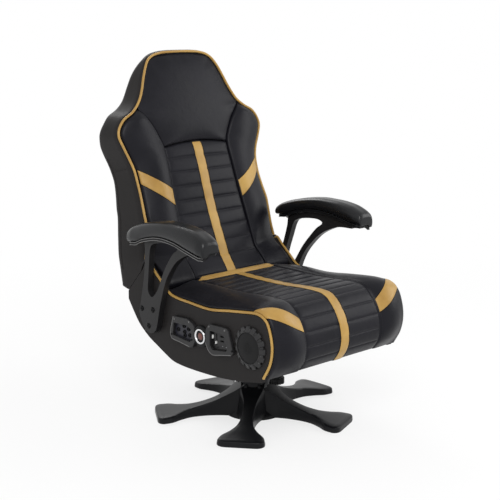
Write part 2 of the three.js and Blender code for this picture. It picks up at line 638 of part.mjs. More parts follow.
const makeSeat = (mount) => {
  const panelOutline = [...panelTop, ...lowerEdge, splitFoot, ...hornEdge()];
  const cushionCut = [
    ...shifted(pipedEdge, -pipingSlot), ...lowerEdge, splitFoot, splitTop,
  ];

  // Speaker and control openings in the side panels
  const speakerShares = [-0.736, 0.5085];
  const [speakerY, speakerZ] = sidePoint(speakerShares);
  const bezelShare = 0.16;
  const bezelRadius = bezelShare * seatReach;
  const bezelLand = 14;
  const holeRadius = bezelRadius - bezelLand;
  const grilleStep = 3;
  const grilleRadius = holeRadius - grilleStep;
  const speakerHole = (x0, x1) => crossCylinder(holeRadius, x0, x1, speakerY, speakerZ, fineSides);
  const pinRadius = 6;
  const pinSeat = panelInner + panelThickness / 2;
  const pinBore = crossCylinder(pinRadius + gap, panelInner - overrun, pinSeat + gap, foldY, foldZ);
  const armBolts = [[0.9008, 0.1939], [0.7743, 0.2077], [0.8252, 0.0592]].map(armPoint);
  const armBoltRadius = 4;
  const armBoltHoles = armBolts.map(([y, z]) =>
    crossCylinder(armBoltRadius + gap, panelInner - overrun, seatHalfWidth + overrun, y, z, boltSides));
  const panelBlank = sidePlate(panelOutline, panelInner, seatHalfWidth);
  const rightPanel = cut(panelBlank, speakerHole(panelInner - overrun, seatHalfWidth + overrun),
    pinBore, ...armBoltHoles);
  place('seat_side_panel_right', sideLeather, rightPanel);
  const jackHole = fromButton([
    [0.22, -0.238], [0.42, -0.381], [1.22, -0.31], [1.18, 0.238], [0.52, 0.286], [0.22, 0.214],
  ]);
  const sliderHole = fromButton([
    [-1.2, -0.214], [-0.52, -0.31], [-0.22, -0.238], [-0.22, 0.238], [-0.44, 0.357], [-1, 0.357],
  ]);
  const [holeOuter, holeInner] = [-seatHalfWidth - overrun, -panelInner + overrun];
  place('seat_side_panel_left', sideLeather, cut(
    mirrored(indexed(rightPanel)),
    sidePlate(jackHole, holeOuter, holeInner),
    sidePlate(sliderHole, holeOuter, holeInner),
    crossCylinder(buttonRadius + gap, holeOuter, holeInner, buttonY, buttonZ, fineSides),
  ));

  // Cushion, from the crease over the front edge, crowned beside its middle
  const middleShares = [
    [0.175, 0.966], [0, 0.962], [-0.35, 0.970], [-0.568, 0.996], [-0.749, 1], [-0.818, 0.979],
    [-0.875, 0.915], [-0.957, 0.744], [-1, 0.521], [-0.984, 0.329], [-0.925, 0.197],
  ];
  const cushionRear = foldY - rollRadius - crease;
  const middlePath = curveOf([[cushionRear, sidePoint(middleShares[0])[1]], ...middleShares.map(sidePoint)]);
  const edgeRise = 11;
  const pipedPoints = pipedEdgeShares.map(sidePoint);
  const firstBeside = pipedPoints.findIndex(([y]) => y < cushionRear);
  const rearEdge = [cushionRear, pipedPoints[firstBeside][1] + edgeRise / 2];
  const edgePath = curveOf([rearEdge, ...shifted(pipedPoints.slice(firstBeside + 1), -edgeRise)]);
  const bedZ = seatHeight - cushionDepth;
  const bedY = -(seatReach - frontPadding);
  const bedCorner = 28;
  const bedFootShare = 0.2;
  const bedFoot = undersideHeight + bedFootShare * bodyDepth;
  const innerPath = new THREE.CatmullRomCurve3([
    [cushionRear, bedZ], [bedY + bedCorner, bedZ], [bedY, bedZ - bedCorner], [bedY, bedFoot],
  ].map(([y, z]) => new THREE.Vector3(0, y, z)), false, 'catmullrom', 0);
  const cushionHalf = seatHalfWidth - pipingRadius - looseGap;
  const seatSeam = 150;
  const channelCount = 15;
  const channelDepth = 5;
  const seatCrown = 14;
  const [crownRearShare, crownFrontShare] = [0.16, 0.12];
  const rowShares = channelled(channelCount);
  const columnShares = [-1, -0.94, -0.82, -0.7, -0.58, -0.3, 0, 0.3, 0.58, 0.7, 0.82, 0.94, 1];
  const cushionGrid = rowShares.map(([u, sunk]) => {
    const [middle, edge] = [middlePath.getPointAt(u), edgePath.getPointAt(u)];
    const along = middlePath.getTangentAt(u);
    const outward = new THREE.Vector3(0, along.z, -along.y);
    const fade = Math.min(u / crownRearShare, 1, (1 - u) / crownFrontShare);
    return columnShares.map((t) => {
      const x = t * cushionHalf;
      const across = Math.max((Math.abs(x) - seatSeam) / (cushionHalf - seatSeam), 0);
      const point = middle.clone().lerp(edge, across * across * (3 - 2 * across));
      const swell = seatCrown * fade * Math.sin(Math.PI * Math.min(across, 1));
      point.addScaledVector(outward, across > 0 ? swell : -sunk * channelDepth);
      return [x, point.y, point.z];
    });
  });
  const cushionRail = rowShares.map(([u]) => {
    const inner = innerPath.getPointAt(u);
    return [[-cushionHalf, inner.y, inner.z], [cushionHalf, inner.y, inner.z]];
  });
  const besidePanel = (side) => {
    const [x0, x1] = [panelInner - gap, seatHalfWidth + overrun];
    return side > 0 ? sidePlate(cushionCut, x0, x1) : sidePlate(cushionCut, -x1, -x0);
  };
  place('seat_cushion', leather, cut(pad(cushionGrid, cushionRail), besidePanel(1), besidePanel(-1)));

  // Boards that carry the cushion between the side panels
  const boardThickness = 12;
  const boardHalf = panelInner - gap;
  const boardTop = bedZ - gap;
  const boardFront = bedY + gap;
  const cornerClearance = 4;
  const boardCorner = bedCorner + cornerClearance;
  place('seat_board', board, sidePlate([
    [cushionRear, boardTop], [boardFront + boardCorner, boardTop], [boardFront, boardTop - boardCorner],
    [boardFront, bedFoot], [boardFront + boardThickness, bedFoot],
    [boardFront + boardThickness, boardTop - boardCorner - boardThickness / 2],
    [boardFront + boardCorner + boardThickness / 2, boardTop - boardThickness],
    [cushionRear, boardTop - boardThickness],
  ], -boardHalf, boardHalf));

  // The pan closes the body below and behind, a little inside the panels' edges.
  const panThickness = 6;
  const panEdge = [...lowerEdge, splitFoot];
  const panOuter = shifted(panEdge, mount.panRise);
  const panInner = shifted(panEdge, mount.panRise + panThickness);
  const panBlank = sidePlate([...panOuter, ...panInner.slice().reverse()], -boardHalf, boardHalf);
  place('underside_pan', plastic, cut(panBlank,
    ...mount.boltHoles(undersideHeight, undersideHeight + mount.panRise + panThickness + overrun)));

  // Steel bars across the body, held on the mount plate's studs
  const barSize = 25;
  const barZ = undersideHeight + mount.panRise + panThickness + gap;
  const barTop = barZ + barSize;
  const bar = (y) => cut(
    box(-boardHalf, boardHalf, y - barSize / 2, y + barSize / 2, barZ, barTop),
    ...mount.boltHoles(barZ - overrun, mount.studTip + overrun));
  place('seat_crossbar_front', blackSteel, bar(mount.barFrontY));
  place('seat_crossbar_rear', blackSteel, bar(mount.barRearY));

  // Amplifier on the crossbars, behind the controls
  const ampHalf = 56;
  const ampInset = 50;
  const ampX = ampHalf + ampInset - panelInner;
  const ampHeight = 42;
  place('amplifier_box', plastic, box(ampX - ampHalf, ampX + ampHalf, mount.barFrontY, mount.barRearY,
    barTop + gap, barTop + gap + ampHeight));

  // Piping along the piped edge, from the fold to the foot of the front
  const edgeX = seatHalfWidth - pipingRadius + looseGap;
  placeBothSides('seat_piping', goldLeather, tubeAlong(
    pipedPoints.map(([y, z]) => [edgeX, y, z]), pipingRadius, pipingSides, seatPipingSteps));

  // Speakers: a notched bezel and a domed grille outside, the driver inside
  const bezelDepth = 12;
  const bezelFaceShare = 0.86;
  const grilleFaceShare = 0.9;
  const face = seatHalfWidth + gap;
  const notchCount = 12;
  const notchRadius = 4;
  const notches = Array.from({ length: notchCount }, (_, k) => {
    const angle = (2 * Math.PI * k) / notchCount;
    return crossCylinder(notchRadius, face + bezelDepth / 2, face + bezelDepth + overrun,
      speakerY + bezelRadius * Math.cos(angle), speakerZ + bezelRadius * Math.sin(angle), boltSides);
  });
  const bezel = cut(
    crossCylinder(bezelRadius * bezelFaceShare, face, face + bezelDepth, speakerY, speakerZ, fineSides,
      bezelRadius),
    crossCylinder(grilleRadius + gap, face - overrun, face + bezelDepth + overrun, speakerY, speakerZ,
      fineSides),
    ...notches);
  placeBothSides('speaker_bezel', plastic, bezel);
  const grilleDepth = 8;
  placeBothSides('speaker_grille', plastic,
    crossCylinder(grilleRadius * grilleFaceShare, face, face + grilleDepth, speakerY, speakerZ, fineSides,
      grilleRadius));
  const driverDepth = 34;
  const driverRim = holeRadius - gap;
  const magnetRadius = driverRim / 2;
  const coneRadius = 1.4 * magnetRadius;
  const coneRear = panelInner - driverDepth / 2;
  placeBothSides('speaker_driver', blackSteel, join(
    crossCylinder(driverRim, panelInner, face - 2 * gap, speakerY, speakerZ, fineSides),
    crossCylinder(magnetRadius, coneRear, panelInner, speakerY, speakerZ, roundSides, coneRadius),
    crossCylinder(magnetRadius, panelInner - driverDepth, coneRear, speakerY, speakerZ),
  ));
  return { armBolts, armBoltRadius, pinRadius, pinSeat };
};

// Sound controls on the left panel: jacks, a round button, and sliders with switches

const makeControls = () => {
  const face = seatHalfWidth + gap;
  const outward = (outline, inner, outer, holes) => sidePlate(outline, -face - outer, -face - inner, holes);
  const round = (radius, inner, outer, y = buttonY, z = buttonZ, sides = fineSides) =>
    crossCylinder(radius, -face - outer, -face - inner, y, z, sides);
  const jackFrame = fromButton([
    [1.18, 0.44], [0.56, 0.488], [0.34, 0.393], [0.24, 0.286], [0.22, -0.238], [0.32, -0.464],
    [0.44, -0.5], [1.29, -0.381], [1.33, -0.143],
  ]);
  const jackWindow = fromButton([
    [1.17, 0.202], [0.58, 0.238], [0.39, 0.143], [0.36, -0.167], [0.44, -0.31], [1.22, -0.238],
  ]);
  const sliderFrame = fromButton([
    [-0.26, 0.333], [-0.41, 0.548], [-1.13, 0.571], [-1.22, 0.476], [-1.42, -0.214], [-1.34, -0.31],
    [-0.54, -0.5], [-0.38, -0.405], [-0.24, -0.167],
  ]);
  const sliderWindow = fromButton([
    [-0.44, 0.31], [-0.94, 0.333], [-1.03, 0.262], [-1.17, -0.143], [-1.11, -0.226], [-0.55, -0.31],
    [-0.44, -0.214],
  ]);
  const frameDepth = 10;
  const ringWidth = 6;
  const hubWidth = 9;
  const ringInner = buttonRadius + gap;
  const ringOuter = ringInner + ringWidth;
  place('control_housing', plastic, cut(
    join(
      outward(jackFrame, 0, frameDepth),
      outward(sliderFrame, 0, frameDepth),
      round(ringOuter + hubWidth, 0, frameDepth - looseGap),
    ),
    outward(jackWindow, -overrun, frameDepth + overrun),
    outward(sliderWindow, -overrun, frameDepth + overrun),
    round(ringOuter + gap, -overrun, frameDepth + overrun),
  ));
  place('button_ring', chrome, cut(
    round(ringOuter, 0, frameDepth + looseGap), round(ringInner, -overrun, frameDepth + overrun)));
  const buttonDepth = 16;
  const buttonFace = frameDepth - looseGap;
  place('power_button', redPlastic, round(buttonRadius, buttonFace - buttonDepth, buttonFace));

  // The plates close the windows from behind, in the panel's opening.
  const plateThickness = 3;
  const [plateInner, plateOuter] = [-gap - plateThickness, -gap];
  const jackRadius = 3;
  const jackPlaces = fromButton([
    [1.06, -0.03], [0.8, 0.15], [0.78, -0.05], [0.6, 0.09], [0.76, -0.17], [0.55, -0.12],
  ]);
  const jackPlate = join(
    outward(fromButton([
      [1.15, 0.19], [0.54, 0.25], [0.28, 0.16], [0.28, -0.19], [0.43, -0.345], [1.19, -0.275],
    ]), plateInner, plateOuter),
    ...jackPlaces.map(([y, z]) => round(2 * jackRadius, plateOuter, jackRadius, y, z, boltSides)),
  );
  place('jack_plate', plastic, cut(jackPlate, ...jackPlaces.map(([y, z]) =>
    round(jackRadius, plateInner - overrun, jackRadius + overrun, y, z, boltSides))));

  const slotHalf = 2;
  const [[, slotFoot], [, slotTop]] = fromButton([[0, -0.155], [0, 0.25]]);
  const thumb = { height: 7, half: slotHalf - gap, proud: 3 };
  const knobNames = ['volume_slider', 'bass_slider', 'mode_switch_upper', 'mode_switch_lower'];
  const knobPlaces = fromButton([[-0.49, 0.119], [-0.63, -0.048], [-0.86, 0.19], [-0.86, 0.036]]);
  const switchHalf = 7;
  const plate = outward(fromButton([
    [-0.28, 0.2], [-0.45, 0.33], [-0.98, 0.33], [-1.17, -0.17], [-0.53, -0.28], [-0.28, -0.2],
  ]), plateInner, plateOuter);
  const slots = [
    ...knobPlaces.slice(0, 2).map(([y]) =>
      box(-face - overrun, -face + overrun, y - slotHalf, y + slotHalf, slotFoot, slotTop)),
    ...knobPlaces.slice(2).map(([y, z]) =>
      box(-face - overrun, -face + overrun, y - switchHalf, y + switchHalf, z - slotHalf, z + slotHalf)),
  ];
  place('slider_plate', plastic, cut(plate, ...slots));
  const flange = 4.5;
  const flangeThickness = 2;
  const knob = (y, z, halfY, halfZ) => join(
    box(-face - thumb.proud, -face - plateInner + gap, y - halfY, y + halfY, z - halfZ, z + halfZ),
    box(-face - plateInner + gap, -face - plateInner + gap + flangeThickness,
      y - flange, y + flange, z - flange, z + flange),
  );
  const thrown = switchHalf - thumb.height / 2 - gap;
  knobNames.forEach((name, k) => {
    const [y, z] = knobPlaces[k];
    if (name.endsWith('slider')) place(name, whitePlastic, knob(y, z, thumb.half, thumb.height / 2));
    else place(name, plastic, knob(y + thrown, z, thumb.height / 2, thumb.half));
  });
};

// Armrests: a bent support with a window, bolted on, and a padded top

const makeArms = (seat) => {
  const topShares = [
    [0.816, 0.787], [0.750, 0.820], [0.612, 0.860], [0.5, 0.871], [0.369, 0.860], [0.252, 0.831],
    [0.133, 0.803],
  ];
  const outlineShares = [
    ...topShares, [0.136, 0.786], [0.267, 0.778], [0.364, 0.742], [0.461, 0.680], [0.534, 0.601],
    [0.602, 0.503], [0.646, 0.404], [0.680, 0.292], [0.704, 0.194], [0.724, 0.101], [0.748, 0.034],
    [0.801, 0], [0.862, 0.014], [0.908, 0.081], [0.937, 0.163], [0.927, 0.194], [0.888, 0.376],
    [0.842, 0.573], [0.818, 0.713],
  ];
  const windowShares = [
    [0.728, 0.770], [0.607, 0.806], [0.473, 0.809], [0.442, 0.787], [0.5, 0.733], [0.568, 0.646],
    [0.631, 0.551], [0.680, 0.455], [0.733, 0.362], [0.786, 0.315], [0.825, 0.354], [0.816, 0.461],
    [0.786, 0.601], [0.752, 0.736],
  ];
  const supportThickness = 20;
  const lean = 14;
  const leanShares = [0.35, 0.85];
  const face = seatHalfWidth + gap;
  const holes = seat.armBolts.map(([y, z]) => ringOf(seat.armBoltRadius + gap, y, z, boltSides));
  const blank = indexed(sidePlate(outlineShares.map(armPoint), face, face + supportThickness,
    [windowShares.map(armPoint), ...holes]));
  const at = blank.getAttribute('position');
  for (let k = 0; k < at.count; k += 1) {
    const height = (at.getZ(k) - flangeFoot) / armRise;
    const share = Math.min(Math.max((height - leanShares[0]) / (leanShares[1] - leanShares[0]), 0), 1);
    at.setX(k, at.getX(k) + lean * share);
  }
  placeBothSides('arm_support', satinPlastic, blank);

  const padFrontShares = [[0.075, 0.797], [0.10, 0.800]];
  const padRearShares = [[0.862, 0.780], [0.90, 0.773], [0.939, 0.770]];
  const archShares = [...padFrontShares, ...topShares.slice().reverse(), ...padRearShares];
  const arch = straightThrough(archShares.map(armPoint));
  const armRows = archShares.map(([along]) => along);
  const stripThickness = 9;
  const [padFront, padRear] = [armRows[0], armRows[armRows.length - 1]];
  const padOffsets = [40, 31];
  const padCentre = (along) => face + mix(...padOffsets, (along - padFront) / (padRear - padFront));
  const stripHalf = 31;
  const padWidthHalf = 34;
  const endWidthShare = 0.86;
  placeBothSides('arm_pad_base', satinPlastic, loft(armRows.slice(1, -1).map((share) => {
    const [y] = armPoint([share, 0]);
    const foot = arch(y) + gap + looseGap / 2;
    return [[-1, 0], [1, 0], [1, 1], [-1, 1]].map(([side, rise]) =>
      [padCentre(share) + side * stripHalf, y, foot + rise * stripThickness]);
  })));
  const crownShares = [
    [0.075, 0.905], [0.09, 0.926], [0.12, 0.950], [0.18, 0.975], [0.282, 0.994], [0.388, 1], [0.495, 1],
    [0.641, 0.980], [0.777, 0.947], [0.862, 0.915], [0.90, 0.895], [0.939, 0.862],
  ];
  const sectionShares = [
    [-0.86, 0], [0.86, 0], [1, 0.22], [0.98, 0.6], [0.8, 0.88], [0.45, 0.99], [0, 1], [-0.45, 0.99],
    [-0.8, 0.88], [-0.98, 0.6], [-1, 0.22],
  ];
  const crown = through(crownShares);
  placeBothSides('arm_pad', leather, loft(armRows.map((along) => {
    const [y, top] = armPoint([along, crown(along)]);
    const foot = arch(y) + stripThickness + 2 * gap + looseGap;
    const narrow = along === padFront || along === padRear ? endWidthShare : 1;
    return sectionShares.map(([side, rise]) =>
      [padCentre(along) + side * narrow * padWidthHalf, y, mix(foot, top, rise)]);
  })));

  const headRadius = 7;
  const headHeight = 4;
  seat.armBolts.forEach(([y, z], k) => {
    const bolt = join(
      crossCylinder(seat.armBoltRadius, panelInner + gap, face + supportThickness + gap, y, z, boltSides),
      crossCylinder(headRadius, face + supportThickness + gap, face + supportThickness + gap + headHeight,
        y, z, boltSides),
    );
    place(`arm_bolt_right_${k + 1}`, blackSteel, bolt);
    place(`arm_bolt_left_${k + 1}`, blackSteel, mirrored(indexed(bolt.clone())));
  });
};

// Backrest: pads on a board, in a hollow rear shell, hinged on two pins

const makeBackrest = (seat) => {
  const bothEnds = (shares) => [...shares.map((t) => -t).reverse(), ...shares.slice(1)];
  const eyeRadius = 20;
  const eyeCorner = eyeRadius * Math.SQRT1_2;
  const collarRadius = 10;
  const pinHead = 3;
  placeBothSides('fold_pin', steel, join(
    crossCylinder(seat.pinRadius, hingeInner - pinHead, seat.pinSeat, foldY, foldZ),
    crossCylinder(collarRadius, hingeInner + hingeThickness + gap, panelInner - gap, foldY, foldZ),
  ));
  const pinPocket = (side) => crossCylinder(collarRadius,
    side > 0 ? hingeInner - overrun : -hingeInner - overrun,
    side > 0 ? hingeInner + overrun : -hingeInner + overrun, foldY, foldZ);

  // Each hinge arm runs from its eye up the back of the pads.
  const armZShares = [0.115, 0.16, 0.21, 0.25];
  const armDepth = 30;
  const armOutline = (margin) => [
    [foldY - eyeCorner - margin, foldZ + eyeCorner + margin],
    ...armZShares.map((s) => [padRearY(backZ(s)) + looseGap - margin, backZ(s) + margin]),
    ...armZShares.map((s) => [padRearY(backZ(s)) + looseGap + armDepth + margin, backZ(s)]).reverse(),
    [foldY + eyeCorner + margin, foldZ - eyeCorner - margin],
  ];
  const hingeOuter = hingeInner + hingeThickness;
  placeBothSides('fold_hinge', steel, cut(
    join(
      sidePlate(armOutline(0), hingeInner, hingeOuter),
      crossCylinder(eyeRadius, hingeInner, hingeOuter, foldY, foldZ),
    ),
    crossCylinder(seat.pinRadius + gap, hingeInner - overrun, hingeOuter + overrun, foldY, foldZ),
  ));
  const armClearance = (side) => {
    const [x0, x1] = [hingeInner - looseGap, hingeOuter + looseGap];
    return side > 0 ? sidePlate(armOutline(looseGap), x0, x1) : sidePlate(armOutline(looseGap), -x1, -x0);
  };

  // Rear shell, cut off along the line where the seat's sides begin
  const cornerRadius = 22;
  const cornerCut = 0.3 * cornerRadius;
  const rearBulge = 10;
  const [quarterShare, quarterBulgeShare] = [0.5, 0.7];
  const lowRowShares = [-0.07, 0.02];
  const shellRows = (inset) => [
    ...lowRowShares.map((s) => [rim[0].x - inset, backZ(s)]),
    ...rimInside(inset),
  ];
  const shellRing = (front, wall) => ([half, z]) => {
    const rear = rearY(z) - wall;
    const right = [
      [half, front(z)], [half, rear - cornerRadius], [half - cornerCut, rear - cornerCut],
      [half - cornerRadius, rear], [quarterShare * half, rear + quarterBulgeShare * rearBulge],
    ];
    return [...right, [0, rear + rearBulge], ...right.map(([x, y]) => [-x, y]).reverse()]
      .map(([x, y]) => [x, y, z]);
  };
  const shellSlot = pipingSlot + looseGap / 2;
  const outer = loft(shellRows(-pipingSlot).map(shellRing((z) => rimY(z) + shellSlot, 0)));
  const hollow = loft(shellRows(rimSlot).map(shellRing((z) => rimY(z) - padThickness, trayWall)));
  const splitSpanShare = 5;
  const behindShares = [2, 0.4];
  const splitLine = [
    splitFoot.map((from, k) => mix(from, splitTop[k], splitSpanShare)), splitFoot,
    splitFoot.map((from, k) => from + behindShares[k] * bodyDepth),
  ];
  const belowSplit = (offset) => sidePlate([
    ...shifted(splitLine, offset), [splitLine[2][0], undersideHeight], [splitLine[0][0], undersideHeight],
  ], -wingHalfWidth - overrun, wingHalfWidth + overrun);
  const hornSwing = (offset) =>
    crossCylinder(hornRadius + offset, -wingHalfWidth, wingHalfWidth, foldY, foldZ, 2 * fineSides);
  const cavity = cut(hollow, belowSplit(splitGap + trayWall), hornSwing(splitGap + trayWall));
  place('back_rear_shell', sideLeather, cut(outer, cavity, belowSplit(splitGap), hornSwing(splitGap),
    armClearance(1), armClearance(-1)));

  const boardThickness = 9;
  const boardGap = 0.8;
  place('back_board', board, loft(boardShares.slice(1, -1).map((share) => {
    const z = backZ(share);
    const half = Math.min(padHalf(z) - looseGap, lowPadHalf - gap);
    const front = padRearY(z) + boardGap;
    return [[-half, front, z], [half, front, z], [half, front + boardThickness, z],
      [-half, front + boardThickness, z]];
  })));

  // Pads in front of the board
  const rollShares = [-0.94, -0.75, -0.45, 0];
  const rollRows = rollShares.map((s) => foldZ + s * rollRadius);
  const headFootZ = backZ(headFootShare) + headArch;
  const archFade = 60;
  const archDrop = (x, fade) => headArch * Math.min((x / seamX(backZ(headFootShare))) ** 2, 1) * fade;
  const fadeFrom = (z) => Math.min(Math.max(1 - Math.abs(z - headFootZ) / archFade, 0), 1);

  const ribCount = 9;
  const ribDepth = 5;
  const ribFoot = foldZ + seamDrop;
  const ribTop = headFootZ - gap;
  const middleRows = [
    ...rollRows.map((z) => [z, 0]),
    ...channelled(ribCount).map(([s, sunk]) => [mix(ribFoot, ribTop, s), sunk]),
  ];
  const middleColumns = bothEnds([0, 0.16, 0.6, 1]);
  const middleGrid = middleRows.map(([z, sunk]) => {
    const half = seamX(z - headArch * fadeFrom(z)) - seamGap;
    return middleColumns.map((t) => {
      const x = t * half;
      const edge = Math.abs(t) === 1 ? seamDrop : 0;
      return [x, frontY(x, z) + Math.max(edge, sunk * ribDepth), z - archDrop(x, fadeFrom(z))];
    });
  });
  const railsOf = (grid) => grid.map((row) => [row[0], row.at(-1)].map(([x, , z]) => [x, padRearY(z), z]));
  place('back_middle_cushion', leather, pad(middleGrid, railsOf(middleGrid)));

  const bolsterShares = [
    0.022, 0.05, 0.085, 0.115, 0.13, 0.162, 0.2, 0.253, 0.3, 0.349, 0.415, 0.484, 0.533, 0.585, 0.637,
    0.667, 0.708, 0.73, 0.748,
  ];
  const bolsterRows = [...rollRows, ...bolsterShares.map(backZ)];
  const bolsterColumns = [0, 0.2, 0.45, 0.7, 0.88, 1];
  const bolsterGrid = bolsterRows.map((z, k) => {
    const inner = seamX(z) + seamGap;
    const outerX = z < lowPadTopZ ? Math.min(padHalf(z), lowPadHalf) : padHalf(z);
    const end = k === bolsterRows.length - 1;
    return bolsterColumns.map((t) => {
      const x = mix(inner, outerX, t);
      return [x, frontY(x, z) + (t === 0 || end ? seamDrop : 0), z];
    });
  });
  const bolster = pad(bolsterGrid, railsOf(bolsterGrid));
  placeBothSides('side_bolster', leather, cut(bolster, pinPocket(1)));

  const topRows = rimInside(padInset).map(([, z]) => z).filter((z) => z > headFootZ + headArch);
  const headRows = [headFootZ, ...topRows];
  const headColumns = bothEnds([0, 0.3, 0.6, 0.85, 1]);
  const headGrid = headRows.map((z, k) => {
    const half = Math.min(seamX(z - headArch * fadeFrom(z)) - seamGap, padHalf(z));
    return headColumns.map((t) => {
      const x = t * half;
      const edge = k === 0 || (Math.abs(t) === 1 && half < padHalf(z)) ? seamDrop : 0;
      return [x, frontY(x, z) + edge, z - archDrop(x, fadeFrom(z))];
    });
  });
  place('head_cushion', leather, pad(headGrid, railsOf(headGrid)));

  // Piping round the rim, from one side of the fold over the head to the other
  const pipingFoot = backZ(0.1);
  const rightSide = [
    [halfWidthInside(0)(pipingFoot), rimY(pipingFoot), pipingFoot],
    ...rim.filter((p) => p.z > pipingFoot + pipingRadius).map((p) => [p.x, p.y, p.z]),
  ];
  const leftSide = rightSide.map(([x, y, z]) => [-x, y, z]).reverse();
  place('back_piping', goldLeather, tubeAlong([...rightSide, ...leftSide], pipingRadius, pipingSides,
    backPipingSteps));

  // Subwoofer box behind the board
  const boxHalf = 95;
  const boxDepth = 66;
  const boxWall = 9;
  const [boxFoot, boxTop] = [backZ(0.2), backZ(0.44)];
  const boxFront = (z) => padRearY(z) + boardThickness + boardGap + gap;
  const bends = boardShares.map(backZ).filter((z) => z > boxFoot + boxWall && z < boxTop - boxWall);
  const boxSection = (inset) => {
    const levels = [boxFoot + inset, ...bends, boxTop - inset];
    return [
      ...levels.map((z) => [boxFront(z) + inset, z]),
      ...[levels.at(-1), levels[0]].map((z) => [boxFront(z) + boxDepth - inset, z]),
    ];
  };
  const portRadius = 34;
  const portZ = mix(boxFoot, boxTop, 0.5);
  const port = new THREE.CylinderGeometry(portRadius, portRadius, boxDepth, roundSides)
    .translate(0, boxFront(portZ) + boxDepth, portZ);
  place('subwoofer_box', plastic, cut(
    sidePlate(boxSection(0), -boxHalf, boxHalf),
    sidePlate(boxSection(boxWall), -boxHalf + boxWall, boxHalf - boxWall),
    port,
  ));
};

const seat = makeSeat(makeTiltMechanism(makePedestal()));
makeControls();
makeArms(seat);
makeBackrest(seat);

// The part stands on the floor, with its origin below the middle of its box.
const reach = new THREE.Box3().setFromObject(chair);
chair.position.y = -(reach.min.y + reach.max.y) / 2;
console.log(`swivel axis at y = ${chair.position.y.toFixed(2)} mm`);

export default part;
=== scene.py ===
"""Upholstery, trim and finishes of a pedestal gaming chair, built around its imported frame.

Sizes are in millimetres. X and Y are measured from the swivel's axis and Z from the floor,
the chair faces -Y, and shares are of the size that each table names.
"""

from __future__ import annotations

import json
import logging
import math
from contextlib import contextmanager
from dataclasses import dataclass, field
from enum import Enum
from typing import Callable, Iterator, Sequence

import bmesh  # noqa: E402
import bpy  # noqa: E402
import numpy as np  # noqa: E402
from mathutils import Matrix, Vector  # noqa: E402
from mathutils.bvhtree import BVHTree  # noqa: E402

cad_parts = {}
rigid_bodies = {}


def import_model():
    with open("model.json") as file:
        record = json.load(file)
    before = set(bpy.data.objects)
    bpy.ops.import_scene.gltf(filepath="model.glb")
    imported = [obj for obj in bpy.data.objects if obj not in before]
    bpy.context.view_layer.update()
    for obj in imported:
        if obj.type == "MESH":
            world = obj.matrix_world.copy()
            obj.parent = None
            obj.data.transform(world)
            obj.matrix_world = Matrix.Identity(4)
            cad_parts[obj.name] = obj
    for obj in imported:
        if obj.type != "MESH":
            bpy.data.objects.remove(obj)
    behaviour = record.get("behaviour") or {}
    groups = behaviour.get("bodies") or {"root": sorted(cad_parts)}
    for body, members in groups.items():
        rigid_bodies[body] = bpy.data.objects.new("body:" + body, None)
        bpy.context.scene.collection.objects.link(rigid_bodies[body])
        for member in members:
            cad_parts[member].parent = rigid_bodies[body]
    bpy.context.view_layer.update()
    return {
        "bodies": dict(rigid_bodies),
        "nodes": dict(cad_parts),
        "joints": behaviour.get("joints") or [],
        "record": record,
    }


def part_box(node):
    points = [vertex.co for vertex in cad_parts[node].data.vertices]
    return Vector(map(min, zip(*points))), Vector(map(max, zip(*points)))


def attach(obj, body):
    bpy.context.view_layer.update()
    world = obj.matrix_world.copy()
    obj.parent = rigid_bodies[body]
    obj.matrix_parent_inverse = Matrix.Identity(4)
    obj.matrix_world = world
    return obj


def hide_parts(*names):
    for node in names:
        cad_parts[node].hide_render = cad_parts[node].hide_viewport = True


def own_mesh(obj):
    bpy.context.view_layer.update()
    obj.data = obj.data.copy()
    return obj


LOG = logging.getLogger("chair")
MM = 0.001
SIDES = ((1, "right"), (-1, "left"))
Colour = tuple[float, float, float]
Line = Sequence[Sequence[float]]
Pairs = tuple[tuple[float, float], ...]
Form = tuple[np.ndarray, list[list[int]]]
Curve = Callable[[np.ndarray], np.ndarray]
Piece = bpy.types.Object
Socket = bpy.types.NodeSocket


# Shared sizes of the frame


@dataclass(frozen=True)
class Datum:
    """Sizes that several sub-assemblies share."""

    seat_reach: float = 375.0
    seat_height: float = 437.0
    underside: float = 203.0
    seat_half: float = 268.0
    panel_inner: float = 250.0
    face_gap: float = 0.3
    fold_y: float = 135.0
    fold_z: float = 425.0
    back_height: float = 661.0
    back_lean: float = 212.0
    wing_half: float = 282.0
    roll_radius: float = 34.0
    piping_radius: float = 4.3
    cord_radius: float = 3.8
    button_y: float = -72.0
    button_z: float = 310.0
    speaker_y: float = -276.0
    speaker_z: float = 322.0

    @property
    def body_depth(self) -> float:
        """The seat body's depth under its top."""
        return self.seat_height - self.underside

    @property
    def face(self) -> float:
        """How far out the inner side of what is bolted to a panel lies."""
        return self.seat_half + self.face_gap

    def side(self, share: Sequence[float]) -> tuple[float, float]:
        """A point of the seat's side from its shares of reach and depth."""
        return share[0] * self.seat_reach, self.underside + share[1] * self.body_depth

    def back_z(self, share: float) -> float:
        """A height on the backrest."""
        return self.fold_z + share * self.back_height

    def back_y(self, share: float) -> float:
        """A depth on the backrest."""
        return self.fold_y + share * self.back_lean


D = Datum()

